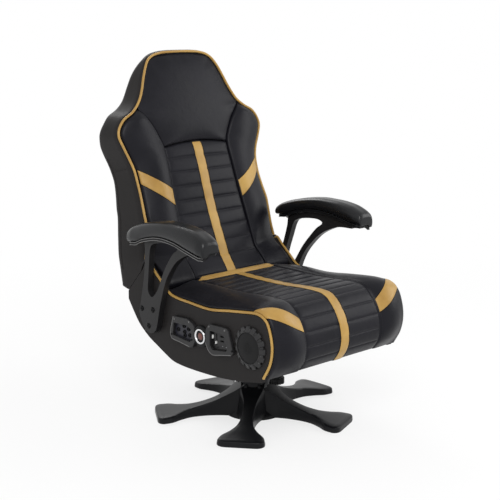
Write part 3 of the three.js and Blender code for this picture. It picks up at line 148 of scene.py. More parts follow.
PIPED_EDGE = [
    (0.473, 1.216), (0.403, 1.111), (0.331, 1.017), (0.213, 0.872), (0.093, 0.833), (-0.021, 0.825),
    (-0.267, 0.812), (-0.491, 0.863), (-0.699, 0.910), (-0.773, 0.923), (-0.837, 0.910), (-0.891, 0.855),
    (-0.933, 0.705), (-0.947, 0.534), (-0.925, 0.363), (-0.859, 0.179),
]
SPLIT = ((0.736, 0.748), (0.491, 1.167))
RIM = [
    (0.077, 0.926, 0.245), (0.097, 0.922, 0.269), (0.162, 0.904, 0.302), (0.253, 0.879, 0.340),
    (0.289, 0.879, 0.373), (0.349, 0.865, 0.453), (0.415, 0.858, 0.538), (0.484, 0.869, 0.608),
    (0.533, 0.904, 0.651), (0.585, 0.957, 0.679), (0.637, 1.0, 0.712), (0.667, 0.986, 0.731),
    (0.708, 0.915, 0.745), (0.737, 0.794, 0.764), (0.767, 0.709, 0.797), (0.800, 0.652, 0.821),
    (0.840, 0.603, 0.858), (0.884, 0.560, 0.901), (0.930, 0.507, 0.943), (0.965, 0.450, 0.981),
    (0.985, 0.379, 0.995), (0.996, 0.280, 1.0), (1.0, 0.170, 1.0),
]


# Curves and functions


def smooth_through(points: Line) -> Curve:
    """A smooth function through points whose first numbers rise.

    Args:
        points: Pairs of place and value.

    Returns:
        A function of a place, or of an array of places.
    """
    xs, ys = np.array([p[0] for p in points], float), np.array([p[1] for p in points], float)
    last = len(xs) - 1
    before, after = np.maximum(np.arange(last + 1) - 1, 0), np.minimum(np.arange(last + 1) + 1, last)
    slopes = (ys[after] - ys[before]) / (xs[after] - xs[before])

    def value(x: np.ndarray) -> np.ndarray:
        """The curve's value at x.

        Args:
            x: Places.

        Returns:
            The values there.
        """
        at = np.clip(np.asarray(x, float), xs[0], xs[-1])
        k = np.clip(np.searchsorted(xs, at), 1, last)
        step = xs[k] - xs[k - 1]
        t = (at - xs[k - 1]) / step
        lean = t * (1 - t) * ((1 - t) * slopes[k - 1] - t * slopes[k]) * step
        return ys[k - 1] + (ys[k] - ys[k - 1]) * t * t * (3 - 2 * t) + lean

    return value


def straight_through(points: Line) -> Curve:
    """A function that is straight between points."""
    xs, ys = [p[0] for p in points], [p[1] for p in points]
    return lambda x: np.interp(x, xs, ys)


def shifted(outline: Line, shift: float) -> np.ndarray:
    """An open outline moved sideways, to its left for a positive shift.

    Args:
        outline: Its points.
        shift: How far it moves.

    Returns:
        The moved points.
    """
    line = np.array(outline, float)
    last = len(line) - 1
    ends = line[np.minimum(np.arange(last + 1) + 1, last)] - line[np.maximum(np.arange(last + 1) - 1, 0)]
    ends /= np.linalg.norm(ends, axis=1)[:, None]
    return line + shift * np.stack([-ends[:, 1], ends[:, 0]], axis=1)


class SmoothPath:
    """A centripetal curve through points, with places by their share of its length."""

    def __init__(self, points: Line, samples: int = 40, closed: bool = False) -> None:
        """Samples the curve.

        Args:
            points: The points that it passes.
            samples: Steps between two points.
            closed: Whether it comes back to its first point.
        """
        line = [np.array(p, float) for p in points]
        padded = [line[-1], *line, line[0], line[1]] if closed else [
            2 * line[0] - line[1], *line, 2 * line[-1] - line[-2]]
        dense = []
        for p0, p1, p2, p3 in zip(padded, padded[1:], padded[2:], padded[3:]):
            d0, d1, d2 = (max(np.linalg.norm(b - a) ** 0.5, 1e-4) for a, b in ((p0, p1), (p1, p2), (p2, p3)))
            m1 = ((p1 - p0) / d0 - (p2 - p0) / (d0 + d1) + (p2 - p1) / d1) * d1
            m2 = ((p2 - p1) / d1 - (p3 - p1) / (d1 + d2) + (p3 - p2) / d2) * d1
            t = np.linspace(0, 1, samples, endpoint=False)[:, None]
            dense.append(p1 + m1 * t + (3 * (p2 - p1) - 2 * m1 - m2) * t**2 + (2 * (p1 - p2) + m1 + m2) * t**3)
        self.points = np.vstack([*dense, line[0] if closed else line[-1]])
        steps = np.linalg.norm(np.diff(self.points, axis=0), axis=1)
        self.places = np.concatenate([[0.0], np.cumsum(steps)]) / float(steps.sum())

    def at(self, u: np.ndarray) -> np.ndarray:
        """The points at shares u of the length."""
        return np.stack([np.interp(u, self.places, axis) for axis in self.points.T], axis=-1)

    def along(self, u: np.ndarray) -> np.ndarray:
        """Unit tangents at shares u.

        Args:
            u: Shares of the length.

        Returns:
            One unit tangent for each.
        """
        u = np.asarray(u, float)
        step = self.at(np.minimum(u + 0.004, 1)) - self.at(np.maximum(u - 0.004, 0))
        return step / np.linalg.norm(step, axis=-1)[..., None]


def mix(a: float, b: float, t: float) -> float:
    """A value between a and b."""
    return a + (b - a) * t


def ease(t: np.ndarray) -> np.ndarray:
    """A smooth step from 0 to 1."""
    t = np.clip(t, 0, 1)
    return t * t * (3 - 2 * t)


def drawn_in(share: np.ndarray) -> np.ndarray:
    """How far a quarter round is drawn in: 1 at a share of 0, and nothing from 1 on."""
    return 1 - np.sqrt(np.clip(1 - (1 - np.clip(share, 0, 1)) ** 2, 0, 1))


# Surfaces of the backrest


class BackForm:
    """The backrest's front surface, outline and rear, as functions of height."""

    head_foot_share = 0.573
    head_arch = 12.0
    arch_fade = 60.0
    lip = 3.0
    puff = 15.0
    crease_spans = (38.0, 75.0)

    def __init__(self, pad_inset: float = 5.6) -> None:
        """Makes the surfaces' functions.

        Args:
            pad_inset: How far the pads' edges lie inside the rim's line.
        """
        z, y = D.back_z, D.back_y
        self.rim = np.array([[x * D.wing_half, y(v), z(h)] for h, x, v in RIM])
        self.rim_y = smooth_through(self.rim[:, [2, 1]])
        centre = [(0.057, -0.019), (0.138, 0.090), (0.250, 0.245), (0.363, 0.373), (0.478, 0.486),
                  (0.592, 0.627), (0.667, 0.670), (0.737, 0.717), (0.800, 0.769), (0.884, 0.844),
                  (0.930, 0.896), (0.965, 0.939), (1, 0.991)]
        self.centre_y = smooth_through([(z(h), y(v)) for h, v in centre])
        rear = [(-0.051, 0.900), (0.023, 0.946), (0.097, 0.991), (0.174, 1.032), (0.265, 1.077),
                (0.355, 1.133), (0.416, 1.181), (0.464, 1.252), (0.501, 1.301), (0.539, 1.330),
                (0.578, 1.318), (0.617, 1.262), (0.654, 1.211), (0.687, 1.190), (0.756, 1.228),
                (0.805, 1.262), (0.840, 1.276), (0.900, 1.256), (0.949, 1.196), (0.983, 1.130), (1, 1.104)]
        self.rear_y = smooth_through([(z(h), y(v)) for h, v in rear])
        depth = [(0.057, 1), (0.6, 0.96), (0.737, 0.8), (0.884, 0.64), (0.965, 0.36), (1, 0.24)]
        self.pad_depth = smooth_through([(z(h), 50 * d) for h, d in depth])
        seam = [(-0.06, 0.511), (0, 0.511), (0.386, 0.461), (0.573, 0.447), (0.628, 0.497),
                (0.673, 0.553), (0.719, 0.638), (0.749, 0.710), (0.771, 0.766)]
        self.seam_x = smooth_through([(z(h), x * D.wing_half) for h, x in seam])
        board = [z(h) for h in (0.057, 0.115, 0.16, 0.25, 0.36, 0.48, 0.6, 0.67, 0.74, 0.767, 0.8, 0.88, 0.93, 1)]
        self.pad_rear_y = straight_through([(h, float(self.centre_y(h) + self.pad_depth(h))) for h in board])
        self.pad_half = self.half_inside(pad_inset)
        self.head_foot = z(self.head_foot_share) + self.head_arch

    def inside(self, inset: float) -> np.ndarray:
        """The rim's outline in X and Z, moved inwards."""
        return shifted(self.rim[:, [0, 2]], inset)

    def half_inside(self, inset: float) -> Curve:
        """The half-width inside the rim by height."""
        return smooth_through(self.inside(inset)[:, [1, 0]])

    def fade(self, z: np.ndarray) -> np.ndarray:
        """How much of the headrest's arch a height takes."""
        return np.clip(1 - np.abs(z - self.head_foot) / self.arch_fade, 0, 1)

    def arch_drop(self, x: np.ndarray, z: np.ndarray) -> np.ndarray:
        """How far the arch lowers a point of the headrest's foot line."""
        reach = self.seam_x(D.back_z(self.head_foot_share))
        return self.head_arch * np.minimum((x / reach) ** 2, 1) * self.fade(z)

    def front_y(self, x: np.ndarray, z: np.ndarray) -> np.ndarray:
        """The front surface's depth at x and z.

        Args:
            x: Distances from the middle.
            z: Heights.

        Returns:
            The depths there.
        """
        x, z = np.broadcast_arrays(np.asarray(x, float), np.asarray(z, float))
        reach, half = np.abs(x), np.maximum(self.pad_half(z), 1)
        seam = np.minimum(self.seam_x(z), half)
        share = np.minimum(reach / half, 1) ** 2.5
        flat = self.centre_y(z) + (self.rim_y(z) - self.lip - self.centre_y(z)) * share
        risen = np.clip((z - D.back_z(0.06)) / (0.16 * D.back_height), 0, 1)
        across = np.where((reach > seam) & (half > seam), (reach - seam) / np.maximum(half - seam, 1e-6), 0)
        wide = np.clip((half - seam) / 62, 0, 1)
        upper = flat - self.puff * risen * wide * np.sin(np.pi * np.clip(across, 0, 1)) ** 0.6
        rise = z - D.fold_z
        roll = D.fold_y - np.sqrt(np.maximum(D.roll_radius**2 - np.minimum(rise, 0) ** 2, 0))
        span = mix(self.crease_spans[0], self.crease_spans[1], np.minimum(reach / half, 1))
        return roll + (upper - roll) * ease(rise / span)


# Finishes


class Grain(Enum):
    """The fine surface of a finish."""

    PEBBLED = "pebbled"
    SMOOTH = "smooth"
    BRUSHED = "brushed"
    WOOD = "wood"


class Shader:
    """A material's or a world's node tree with short calls for its nodes and links."""

    def __init__(self, owner: bpy.types.Material | bpy.types.World) -> None:
        """Starts the node tree of a new material or world.

        Args:
            owner: The material or world.
        """
        owner.use_nodes = True
        self.owner, self.tree = owner, owner.node_tree
        self.shader = self.tree.nodes.get("Principled BSDF")

    def node(self, kind: str, **values: object) -> bpy.types.Node:
        """Adds a node, with input values by socket name and other settings by attribute.

        Args:
            kind: The node's type.
            values: Input values and settings.

        Returns:
            The node.
        """
        made = self.tree.nodes.new(kind)
        for key, value in values.items():
            if hasattr(made, key):
                setattr(made, key, value)
            else:
                made.inputs[key.replace("_", " ")].default_value = value
        return made

    def link(self, source: Socket, target: Socket) -> None:
        """Joins two sockets."""
        self.tree.links.new(source, target)

    def ramp(self, source: Socket, stops: Sequence[tuple[float, Colour]]) -> Socket:
        """A colour ramp over a source's values.

        Args:
            source: The values' socket.
            stops: Two places, each with its colour.

        Returns:
            The colour's socket.
        """
        made = self.node("ShaderNodeValToRGB")
        for element, (place, colour) in zip(made.color_ramp.elements, stops):
            element.position, element.color = place, (*colour, 1)
        self.link(source, made.inputs["Fac"])
        return made.outputs["Color"]

    def levels(self, source: Socket, low: float, high: float, span: tuple[float, float] = (0.3, 0.7),
               curve: str = "LINEAR") -> Socket:
        """A part of a source's range spread between two levels.

        Args:
            source: The values' socket.
            low: The lower level.
            high: The upper level.
            span: The part of the source's range.
            curve: The kind of step between them.

        Returns:
            The levels' socket.
        """
        made = self.node("ShaderNodeMapRange", interpolation_type=curve)
        for name, value in zip(("From Min", "From Max", "To Min", "To Max"), (*span, low, high)):
            made.inputs[name].default_value = value
        self.link(source, made.inputs["Value"])
        return made.outputs["Result"]

    def rays(self, *kinds: str) -> Socket:
        """1 for rays of the kinds that it names, and 0 for all others.

        Args:
            kinds: Names of the light path's outputs.

        Returns:
            The share's socket.
        """
        path = self.node("ShaderNodeLightPath")
        found = path.outputs[kinds[0]]
        for kind in kinds[1:]:
            either = self.node("ShaderNodeMath", operation="MAXIMUM")
            self.link(found, either.inputs[0])
            self.link(path.outputs[kind], either.inputs[1])
            found = either.outputs[0]
        return found

    def bump(self, height: Socket, strength: float, depth_mm: float,
             below: Socket | None = None) -> Socket:
        """A bump from a height, over another where there is one.

        Args:
            height: The height's socket.
            strength: Its strength.
            depth_mm: Its depth.
            below: Another bump's normal.

        Returns:
            The normal's socket.
        """
        made = self.node("ShaderNodeBump")
        made.inputs["Strength"].default_value = strength
        made.inputs["Distance"].default_value = depth_mm * MM
        self.link(height, made.inputs["Height"])
        if below is not None:
            self.link(below, made.inputs["Normal"])
        return made.outputs["Normal"]


@dataclass(frozen=True)
class Finish:
    """One finish of the chair: its colour, gloss and fine surface."""

    name: str
    slot: str
    colour: Colour
    deep: Colour
    rough: tuple[float, float]
    cell_mm: float
    grain_mm: float
    grain: Grain = Grain.SMOOTH
    metal: float = 0.0
    crease_mm: float = 0.0
    sheen: float = 0.0
    coat: float = 0.0
    specular: float = 0.22

    def material(self) -> bpy.types.Material:
        """The node material of this finish, made once.

        Returns:
            The material.
        """
        found = bpy.data.materials.get(self.name)
        if found is not None:
            return found
        s = Shader(bpy.data.materials.new(self.name))
        coordinates = s.node("ShaderNodeTexCoord").outputs["Object"]
        broad = s.node("ShaderNodeTexNoise", Scale=9.0, Detail=4.0, Roughness=0.55)
        s.link(coordinates, broad.inputs["Vector"])
        s.link(s.ramp(broad.outputs["Fac"], [(0.3, self.deep), (0.7, self.colour)]), s.shader.inputs["Base Color"])
        fine = self._fine(s, coordinates)
        s.link(s.levels(broad.outputs["Fac"], *self.rough), s.shader.inputs["Roughness"])
        normal = None
        if self.crease_mm:
            crease = s.node("ShaderNodeTexNoise", Scale=38.0, Detail=3.0, Distortion=0.8)
            s.link(coordinates, crease.inputs["Vector"])
            normal = s.bump(crease.outputs["Fac"], 0.5, self.crease_mm)
        s.link(s.bump(fine, 0.6, self.grain_mm, normal), s.shader.inputs["Normal"])
        for socket, value in (("Metallic", self.metal), ("Sheen Weight", self.sheen), ("Sheen Roughness", 0.4),
                              ("Specular IOR Level", self.specular), ("Coat Weight", self.coat),
                              ("Coat Roughness", 0.25)):
            s.shader.inputs[socket].default_value = value
        return s.owner

    def _fine(self, s: Shader, coordinates: Socket) -> Socket:
        """The fine height of the grain.

        Args:
            s: The material's shader tree.
            coordinates: The object coordinates' socket.

        Returns:
            The height's socket.
        """
        cells = 1000.0 / self.cell_mm
        if self.grain is Grain.PEBBLED:
            made = s.node("ShaderNodeTexVoronoi", feature="SMOOTH_F1", Scale=cells)
            s.link(coordinates, made.inputs["Vector"])
            return made.outputs["Distance"]
        stretch = {Grain.BRUSHED: (1, 1, 14), Grain.WOOD: (0.15, 1, 1)}.get(self.grain, (1, 1, 1))
        mapping = s.node("ShaderNodeMapping", Scale=stretch)
        s.link(coordinates, mapping.inputs["Vector"])
        made = s.node("ShaderNodeTexNoise", Scale=cells, Detail=3.0)
        s.link(mapping.outputs["Vector"], made.inputs["Vector"])
        return made.outputs["Fac"]


LEATHER = Finish("black_grained_leather", "black_leather", (0.0105, 0.0102, 0.0138), (0.0062, 0.0062, 0.0088),
                 (0.33, 0.43), grain=Grain.PEBBLED, cell_mm=1.5, grain_mm=0.13, crease_mm=1.1, sheen=0.02,
                 specular=0.13)
SIDE_LEATHER = Finish("matt_side_leather", "side_leather", (0.0205, 0.0186, 0.0184), (0.0145, 0.0131, 0.0129),
                      (0.50, 0.60), grain=Grain.PEBBLED, cell_mm=1.1, grain_mm=0.10, crease_mm=0.5, sheen=0.02,
                      specular=0.12)
GOLD = Finish("gold_satin_leather", "gold_leather", (0.50, 0.310, 0.085), (0.33, 0.185, 0.042),
              (0.32, 0.42), grain=Grain.PEBBLED, cell_mm=1.3, grain_mm=0.10, crease_mm=0.8, sheen=0.03, specular=0.30)
SATIN = Finish("satin_moulded_plastic", "satin_plastic", (0.0085, 0.0088, 0.0102), (0.0058, 0.0060, 0.0070),
               (0.30, 0.38), cell_mm=0.9, grain_mm=0.04, specular=0.16)
SUPPORT = Finish("arm_support_plastic", "satin_plastic", (0.0165, 0.0160, 0.0168), (0.0110, 0.0107, 0.0113),
                 (0.30, 0.40), cell_mm=0.9, grain_mm=0.05, specular=0.24)
PLASTIC = Finish("black_moulded_plastic", "black_plastic", (0.0080, 0.0080, 0.0084), (0.005, 0.005, 0.0054),
                 (0.38, 0.50), cell_mm=0.8, grain_mm=0.06, specular=0.15)
EDGE_PLASTIC = Finish("grey_housing_plastic", "black_plastic", (0.021, 0.0205, 0.0215), (0.013, 0.0127, 0.0135),
                      (0.32, 0.42), cell_mm=0.8, grain_mm=0.05, specular=0.30)
# Painted highlight: a pale grey that stands for light caught on the control modules' edges, on the upper module screws
# and on the arm pads' beads.
PALE_HIGHLIGHT = Finish("pale_worn_plastic_edge", "black_plastic", (0.15, 0.147, 0.147), (0.10, 0.098, 0.098),
                      (0.3, 0.4), cell_mm=0.8, grain_mm=0.03, specular=0.4)
ARM_SKIN = Finish("gloss_arm_pad_skin", "soft_armpad", (0.0062, 0.0066, 0.0080), (0.0040, 0.0044, 0.0054),
                  (0.26, 0.34), grain=Grain.PEBBLED, cell_mm=1.6, grain_mm=0.03, crease_mm=0.15, sheen=0.02,
                  specular=0.30)
WHITE = Finish("white_moulded_plastic", "white_plastic", (0.80, 0.80, 0.78), (0.70, 0.70, 0.68), (0.35, 0.45),
               cell_mm=0.7, grain_mm=0.03, specular=0.5)
RED = Finish("copper_red_plastic", "red_plastic", (0.20, 0.055, 0.035), (0.11, 0.032, 0.022), (0.28, 0.38),
             cell_mm=0.7, grain_mm=0.03, coat=0.2, specular=0.4)
CHROME = Finish("polished_chrome", "chrome", (0.82, 0.82, 0.82), (0.68, 0.68, 0.69), (0.10, 0.18), metal=1.0,
                cell_mm=0.6, grain_mm=0.01, specular=0.5)
STEEL = Finish("brushed_steel", "steel", (0.42, 0.43, 0.44), (0.28, 0.29, 0.30), (0.28, 0.40), metal=1.0,
               grain=Grain.BRUSHED, cell_mm=0.7, grain_mm=0.03, specular=0.5)
PAINTED = Finish("black_painted_steel", "black_steel", (0.0115, 0.0115, 0.0125), (0.0075, 0.0075, 0.008),
                 (0.38, 0.5), cell_mm=0.9, grain_mm=0.05, specular=0.28)
PLYWOOD = Finish("plywood_board", "board", (0.38, 0.24, 0.12), (0.26, 0.15, 0.07), (0.6, 0.75), grain=Grain.WOOD,
                 cell_mm=2.5, grain_mm=0.2)
RUBBER = Finish("black_rubber", "rubber", (0.010, 0.010, 0.010), (0.007, 0.007, 0.007), (0.7, 0.85),
                cell_mm=0.8, grain_mm=0.06)
THREAD = Finish("black_sewing_thread", "black_leather", (0.024, 0.024, 0.028), (0.015, 0.015, 0.018), (0.5, 0.6),
                cell_mm=0.4, grain_mm=0.05)
BOLT = Finish("blackened_bolt_steel", "black_steel", (0.005, 0.005, 0.0055), (0.003, 0.003, 0.0034), (0.4, 0.5),
              cell_mm=0.8, grain_mm=0.04, specular=0.12)
# Painted shade: a near-black finish for thin strips beside the gold bands, standing for the shade in their seams.
SEAM_SHADE = Finish("dark_folded_edge", "black_leather", (0.0042, 0.0038, 0.0038), (0.0028, 0.0026, 0.0026),
                    (0.5, 0.6), grain=Grain.PEBBLED, cell_mm=1.5, grain_mm=0.08, specular=0.08)
JACK_PLASTIC = Finish("blue_grey_plastic", "black_plastic", (0.026, 0.026, 0.036), (0.018, 0.018, 0.026),
                      (0.3, 0.4), cell_mm=0.8, grain_mm=0.04, specular=0.3)
# Painted shade: near-black for discs that stand for the shade inside the speakers' perforations and the jacks' holes.
PAINTED_HOLE_SHADE = Finish("deep_black_recess", "black_plastic", (0.004, 0.004, 0.004), (0.002, 0.002, 0.002), (0.6, 0.8),
                   cell_mm=0.8, grain_mm=0.04, specular=0.1)


# Meshes


def placed(name: str, data: bpy.types.ID) -> Piece:
    """A new object in the scene.

    Args:
        name: Its name.
        data: Its mesh, camera or lamp.

    Returns:
        The object.
    """
    made = bpy.data.objects.new(name, data)
    bpy.context.scene.collection.objects.link(made)
    return made


@contextmanager
def edited(mesh: bpy.types.Mesh) -> Iterator[bmesh.types.BMesh]:
    """A mesh that is open for editing, and written back at the end.

    Args:
        mesh: The mesh.

    Yields:
        Its open form.
    """
    shape = bmesh.new()
    shape.from_mesh(mesh)
    yield shape
    shape.to_mesh(mesh)
    shape.free()


class Workshop:
    """Makes mesh pieces in the frame's place and puts them on their bodies."""

    def __init__(self, axis_y: float) -> None:
        """Remembers the swivel axis's place.

        Args:
            axis_y: The axis's Y in the frame, in metres.
        """
        self.shift = np.array([0.0, axis_y, 0.0])

    def object(self, name: str, points: np.ndarray, faces: Sequence[Sequence[int]], smooth: bool = True,
               outward: bool = True) -> Piece:
        """A mesh object from points in millimetres.

        Args:
            name: The piece's name.
            points: Its points.
            faces: Its faces.
            smooth: Whether it is shaded smooth.
            outward: Whether its faces are turned outwards.

        Returns:
            The object, linked to the scene.
        """
        mesh = bpy.data.meshes.new(name)
        mesh.from_pydata((np.asarray(points, float) * MM + self.shift).tolist(), [], [list(f) for f in faces])
        if outward:
            with edited(mesh) as shape:
                bmesh.ops.remove_doubles(shape, verts=shape.verts, dist=1e-6)
                bmesh.ops.recalc_face_normals(shape, faces=shape.faces)
        mesh.polygons.foreach_set("use_smooth", [smooth] * len(mesh.polygons))
        return placed(name, mesh)

    def sharp(self, obj: Piece, degrees: float) -> Piece:
        """Smooth shading that breaks at edges above an angle.

        Args:
            obj: The piece.
            degrees: The angle.

        Returns:
            The piece.
        """
        mesh = obj.data
        mesh.polygons.foreach_set("use_smooth", [True] * len(mesh.polygons))
        mesh.set_sharp_from_angle(angle=math.radians(degrees))
        return obj

    def bevelled(self, obj: Piece, width: float, segments: int, degrees: float = 35.0) -> Piece:
        """Rounds an object's hard edges with a modifier.

        Args:
            obj: The piece.
            width: The bevel's width.
            segments: Its steps.
            degrees: The least angle of an edge that is rounded.

        Returns:
            The piece.
        """
        made = obj.modifiers.new("bevel", "BEVEL")
        made.width, made.segments, made.limit_method = width * MM, segments, "ANGLE"
        made.angle_limit, made.harden_normals = math.radians(degrees), True
        made.miter_outer = "MITER_ARC"
        obj.data.polygons.foreach_set("use_smooth", [True] * len(obj.data.polygons))
        return obj

    def baked(self, obj: Piece) -> Piece:
        """An object's evaluated form as a plain mesh, in its own place.

        Args:
            obj: The piece.

        Returns:
            The piece.
        """
        graph = bpy.context.evaluated_depsgraph_get()
        mesh = bpy.data.meshes.new_from_object(obj.evaluated_get(graph), depsgraph=graph)
        obj.modifiers.clear()
        old, obj.data = obj.data, mesh
        mesh.name = obj.name
        if old.users == 0:
            bpy.data.meshes.remove(old)
        return obj

    def combined(self, obj: Piece, tools: Sequence[Piece], operation: str) -> Piece:
        """Joins tools to an object or cuts them from it, and removes them.

        Args:
            obj: The piece.
            tools: The forms that act on it.
            operation: UNION or DIFFERENCE.

        Returns:
            The piece.
        """
        for tool in tools:
            made = obj.modifiers.new("combine", "BOOLEAN")
            made.operation, made.object, made.solver = operation, tool, "EXACT"
            self.baked(obj)
            bpy.data.objects.remove(tool)
        return obj

    def dress(self, obj: Piece, body: str, finish: Finish, replaces: Sequence[str] = (),
              fill: float | None = None) -> Piece:
        """Gives a finished piece its finish and body, and hides the frame's nodes that it replaces.

        Args:
            obj: The piece.
            body: The body that it rides on.
            finish: Its finish.
            replaces: The frame's nodes that it stands for.
            fill: How full it is, where it is a padded piece; not used.

        Returns:
            The piece.
        """
        obj.data.materials.clear()
        obj.data.materials.append(finish.material())
        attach(obj, body)
        if replaces:
            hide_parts(*replaces)
        LOG.info("%s rides on %s, %d faces", obj.name, body, len(obj.data.polygons))
        return obj


def grid_faces(rows: int, columns: int, start: int = 0, closed: bool = False) -> list[list[int]]:
    """Quads over a grid of points, whose rows may close on themselves.

    Args:
        rows: Rows of points.
        columns: Points in a row.
        start: The first point's number.
        closed: Whether a row's last point meets its first.

    Returns:
        The faces.
    """
    wide = columns if closed else columns - 1
    return [
        [start + i * columns + j, start + i * columns + (j + 1) % columns,
         start + (i + 1) * columns + (j + 1) % columns, start + (i + 1) * columns + j]
        for i in range(rows - 1) for j in range(wide)
    ]


def loft(rings: np.ndarray) -> Form:
    """A closed form through rings of points.

    Args:
        rings: An array of rings, points and coordinates.

    Returns:
        Its points and faces, with a fan over each end.
    """
    rows, columns = rings.shape[:2]
    points = np.vstack([rings.reshape(-1, 3), rings[0].mean(0), rings[-1].mean(0)])
    faces = grid_faces(rows, columns, closed=True)
    for ring, hub in ((0, rows * columns), (rows - 1, rows * columns + 1)):
        faces += [[hub, ring * columns + j, ring * columns + (j + 1) % columns] for j in range(columns)]
    return points, faces


def slab(front: np.ndarray, back: np.ndarray, rings: int = 2) -> Form:
    """A closed form between two grids of one shape, with rings of points round its side.

    Args:
        front: Rows and columns of points.
        back: The other side's points.
        rings: Rings between them.

    Returns:
        Its points and faces.
    """
    rows, columns = front.shape[:2]
    count = rows * columns
    border = ([(0, j) for j in range(columns)] + [(i, columns - 1) for i in range(1, rows)]
              + [(rows - 1, j) for j in range(columns - 2, -1, -1)] + [(i, 0) for i in range(rows - 2, 0, -1)])
    flat = [i * columns + j for i, j in border]
    between = [np.array([mix(front[i, j], back[i, j], (k + 1) / (rings + 1)) for i, j in border])
               for k in range(rings)]
    points = np.vstack([front.reshape(-1, 3), back.reshape(-1, 3), *between])
    loops = [flat, *[[2 * count + k * len(flat) + n for n in range(len(flat))] for k in range(rings)],
             [count + n for n in flat]]
    faces = grid_faces(rows, columns) + [f[::-1] for f in grid_faces(rows, columns, count)]
    for near, far in zip(loops, loops[1:]):
        faces += [[near[n], near[(n + 1) % len(near)], far[(n + 1) % len(near)], far[n]] for n in range(len(near))]
    return points, faces


def tube(points: np.ndarray, radius: float, sides: int = 12) -> Form:
    """A round tube along points, with its ends drawn in.

    Args:
        points: The line's points.
        radius: The tube's radius.
        sides: Steps round.

    Returns:
        Its points and faces.
    """
    line = np.asarray(points, float)
    along = np.gradient(line, axis=0)
    along /= np.linalg.norm(along, axis=1)[:, None]
    up = np.array([1.0, 0.0, 0.0]) if abs(along[0][0]) < 0.9 else np.array([0.0, 0.0, 1.0])
    rings, radii = [], [radius * 0.6, *[radius] * len(line), radius * 0.6]
    centres = [line[0] - along[0] * radius * 0.5, *line, line[-1] + along[-1] * radius * 0.5]
    for centre, tangent, size in zip(centres, [along[0], *along, along[-1]], radii):
        up = up - tangent * up.dot(tangent)
        up /= np.linalg.norm(up)
        side = np.cross(tangent, up)
        angles = np.linspace(0, 2 * np.pi, sides, endpoint=False)[:, None]
        rings.append(centre + size * (np.cos(angles) * up + np.sin(angles) * side))
    return loft(np.array(rings))


def lathe(profile: Line, sides: int, frame: Matrix, notch: Callable[[float, float], float] | None = None) -> Form:
    """A turned form about the local Z axis, closed where its profile starts and ends on the axis.

    Args:
        profile: Pairs of radius and height.
        sides: Steps round.
        frame: Where the local axes lie.
        notch: A function of angle and radius that gives a new radius.

    Returns:
        Its points and faces.
    """
    turn = np.array(frame)
    ring = profile if profile[0] != profile[-1] else profile[:-1]
    angles = np.linspace(0, 2 * np.pi, sides, endpoint=False)
    rows = []
    for radius, height in ring:
        reach = [notch(a, radius) if notch else radius for a in angles]
        rows.append([[r * math.cos(a), r * math.sin(a), height, 1] for r, a in zip(reach, angles)])
    cloud = np.array(rows) @ turn.T
    points = cloud[..., :3].reshape(-1, 3)
    faces = grid_faces(len(ring), sides, closed=True)
    if len(ring) != len(profile):
        last = (len(ring) - 1) * sides
        faces += [[last + j, last + (j + 1) % sides, (j + 1) % sides, j] for j in range(sides)]
    return points, faces


def outward_x(side: int, face: float, y: float, z: float) -> Matrix:
    """A local frame on a side face, whose Z points out of the chair."""
    return Matrix(((0, 0, side, side * face), (1, 0, 0, y), (0, 1, 0, z), (0, 0, 0, 1)))


# Geometry Nodes


class NodeGraph:
    """A Geometry Nodes tree with short calls for its nodes, links and inputs."""

    def __init__(self, name: str) -> None:
        """Starts a tree with a geometry in and a geometry out.

        Args:
            name: The tree's name.
        """
        self.tree = bpy.data.node_groups.new(name, "GeometryNodeTree")
        self.tree.interface.new_socket("Geometry", in_out="INPUT", socket_type="NodeSocketGeometry")
        self.tree.interface.new_socket("Geometry", in_out="OUTPUT", socket_type="NodeSocketGeometry")
        self.source = self.tree.nodes.new("NodeGroupInput")
        self.result = self.tree.nodes.new("NodeGroupOutput")

    def number(self, name: str, value: float, kind: str = "NodeSocketFloat") -> Socket:
        """Adds a named input and gives its socket.

        Args:
            name: The input's name.
            value: Its value.
            kind: Its socket type.

        Returns:
            The socket.
        """
        made = self.tree.interface.new_socket(name, in_out="INPUT", socket_type=kind)
        made.default_value = value
        return self.source.outputs[name]

    def node(self, kind: str, links: dict[str, Socket] | None = None, **values: object) -> bpy.types.Node:
        """Adds a node with its settings, input values and links by socket name.

        Args:
            kind: The node's type.
            links: Sockets by the name of the input that takes them.
            values: Input values and settings.

        Returns:
            The node.
        """
        made = self.tree.nodes.new(kind)
        for key, value in values.items():
            if hasattr(made, key):
                setattr(made, key, value)
            else:
                made.inputs[key.replace("_", " ")].default_value = value
        for key, socket in (links or {}).items():
            self.tree.links.new(socket, made.inputs[key])
        return made

    def math(self, operation: str, *terms: float | Socket) -> Socket:
        """The result of an arithmetic step on sockets and numbers.

        Args:
            operation: The step's name.
            terms: Its numbers and sockets.

        Returns:
            The result's socket.
        """
        made = self.tree.nodes.new("ShaderNodeMath")
        made.operation = operation
        for slot, term in zip(made.inputs, terms):
            if isinstance(term, (int, float)):
                slot.default_value = term
            else:
                self.tree.links.new(term, slot)
        return made.outputs[0]

    def finish(self, instances: Socket, material: bpy.types.Material) -> None:
        """Makes the instances real, sets their material and ends the tree.

        Args:
            instances: The instances' socket.
            material: Their material.
        """
        real = self.node("GeometryNodeRealizeInstances", {"Geometry": instances})
        dressed = self.node("GeometryNodeSetMaterial", {"Geometry": real.outputs[0]}, Material=material)
        smooth = self.node("GeometryNodeSetShadeSmooth", {"Geometry": dressed.outputs[0]})
        self.tree.links.new(smooth.outputs[0], self.result.inputs[0])


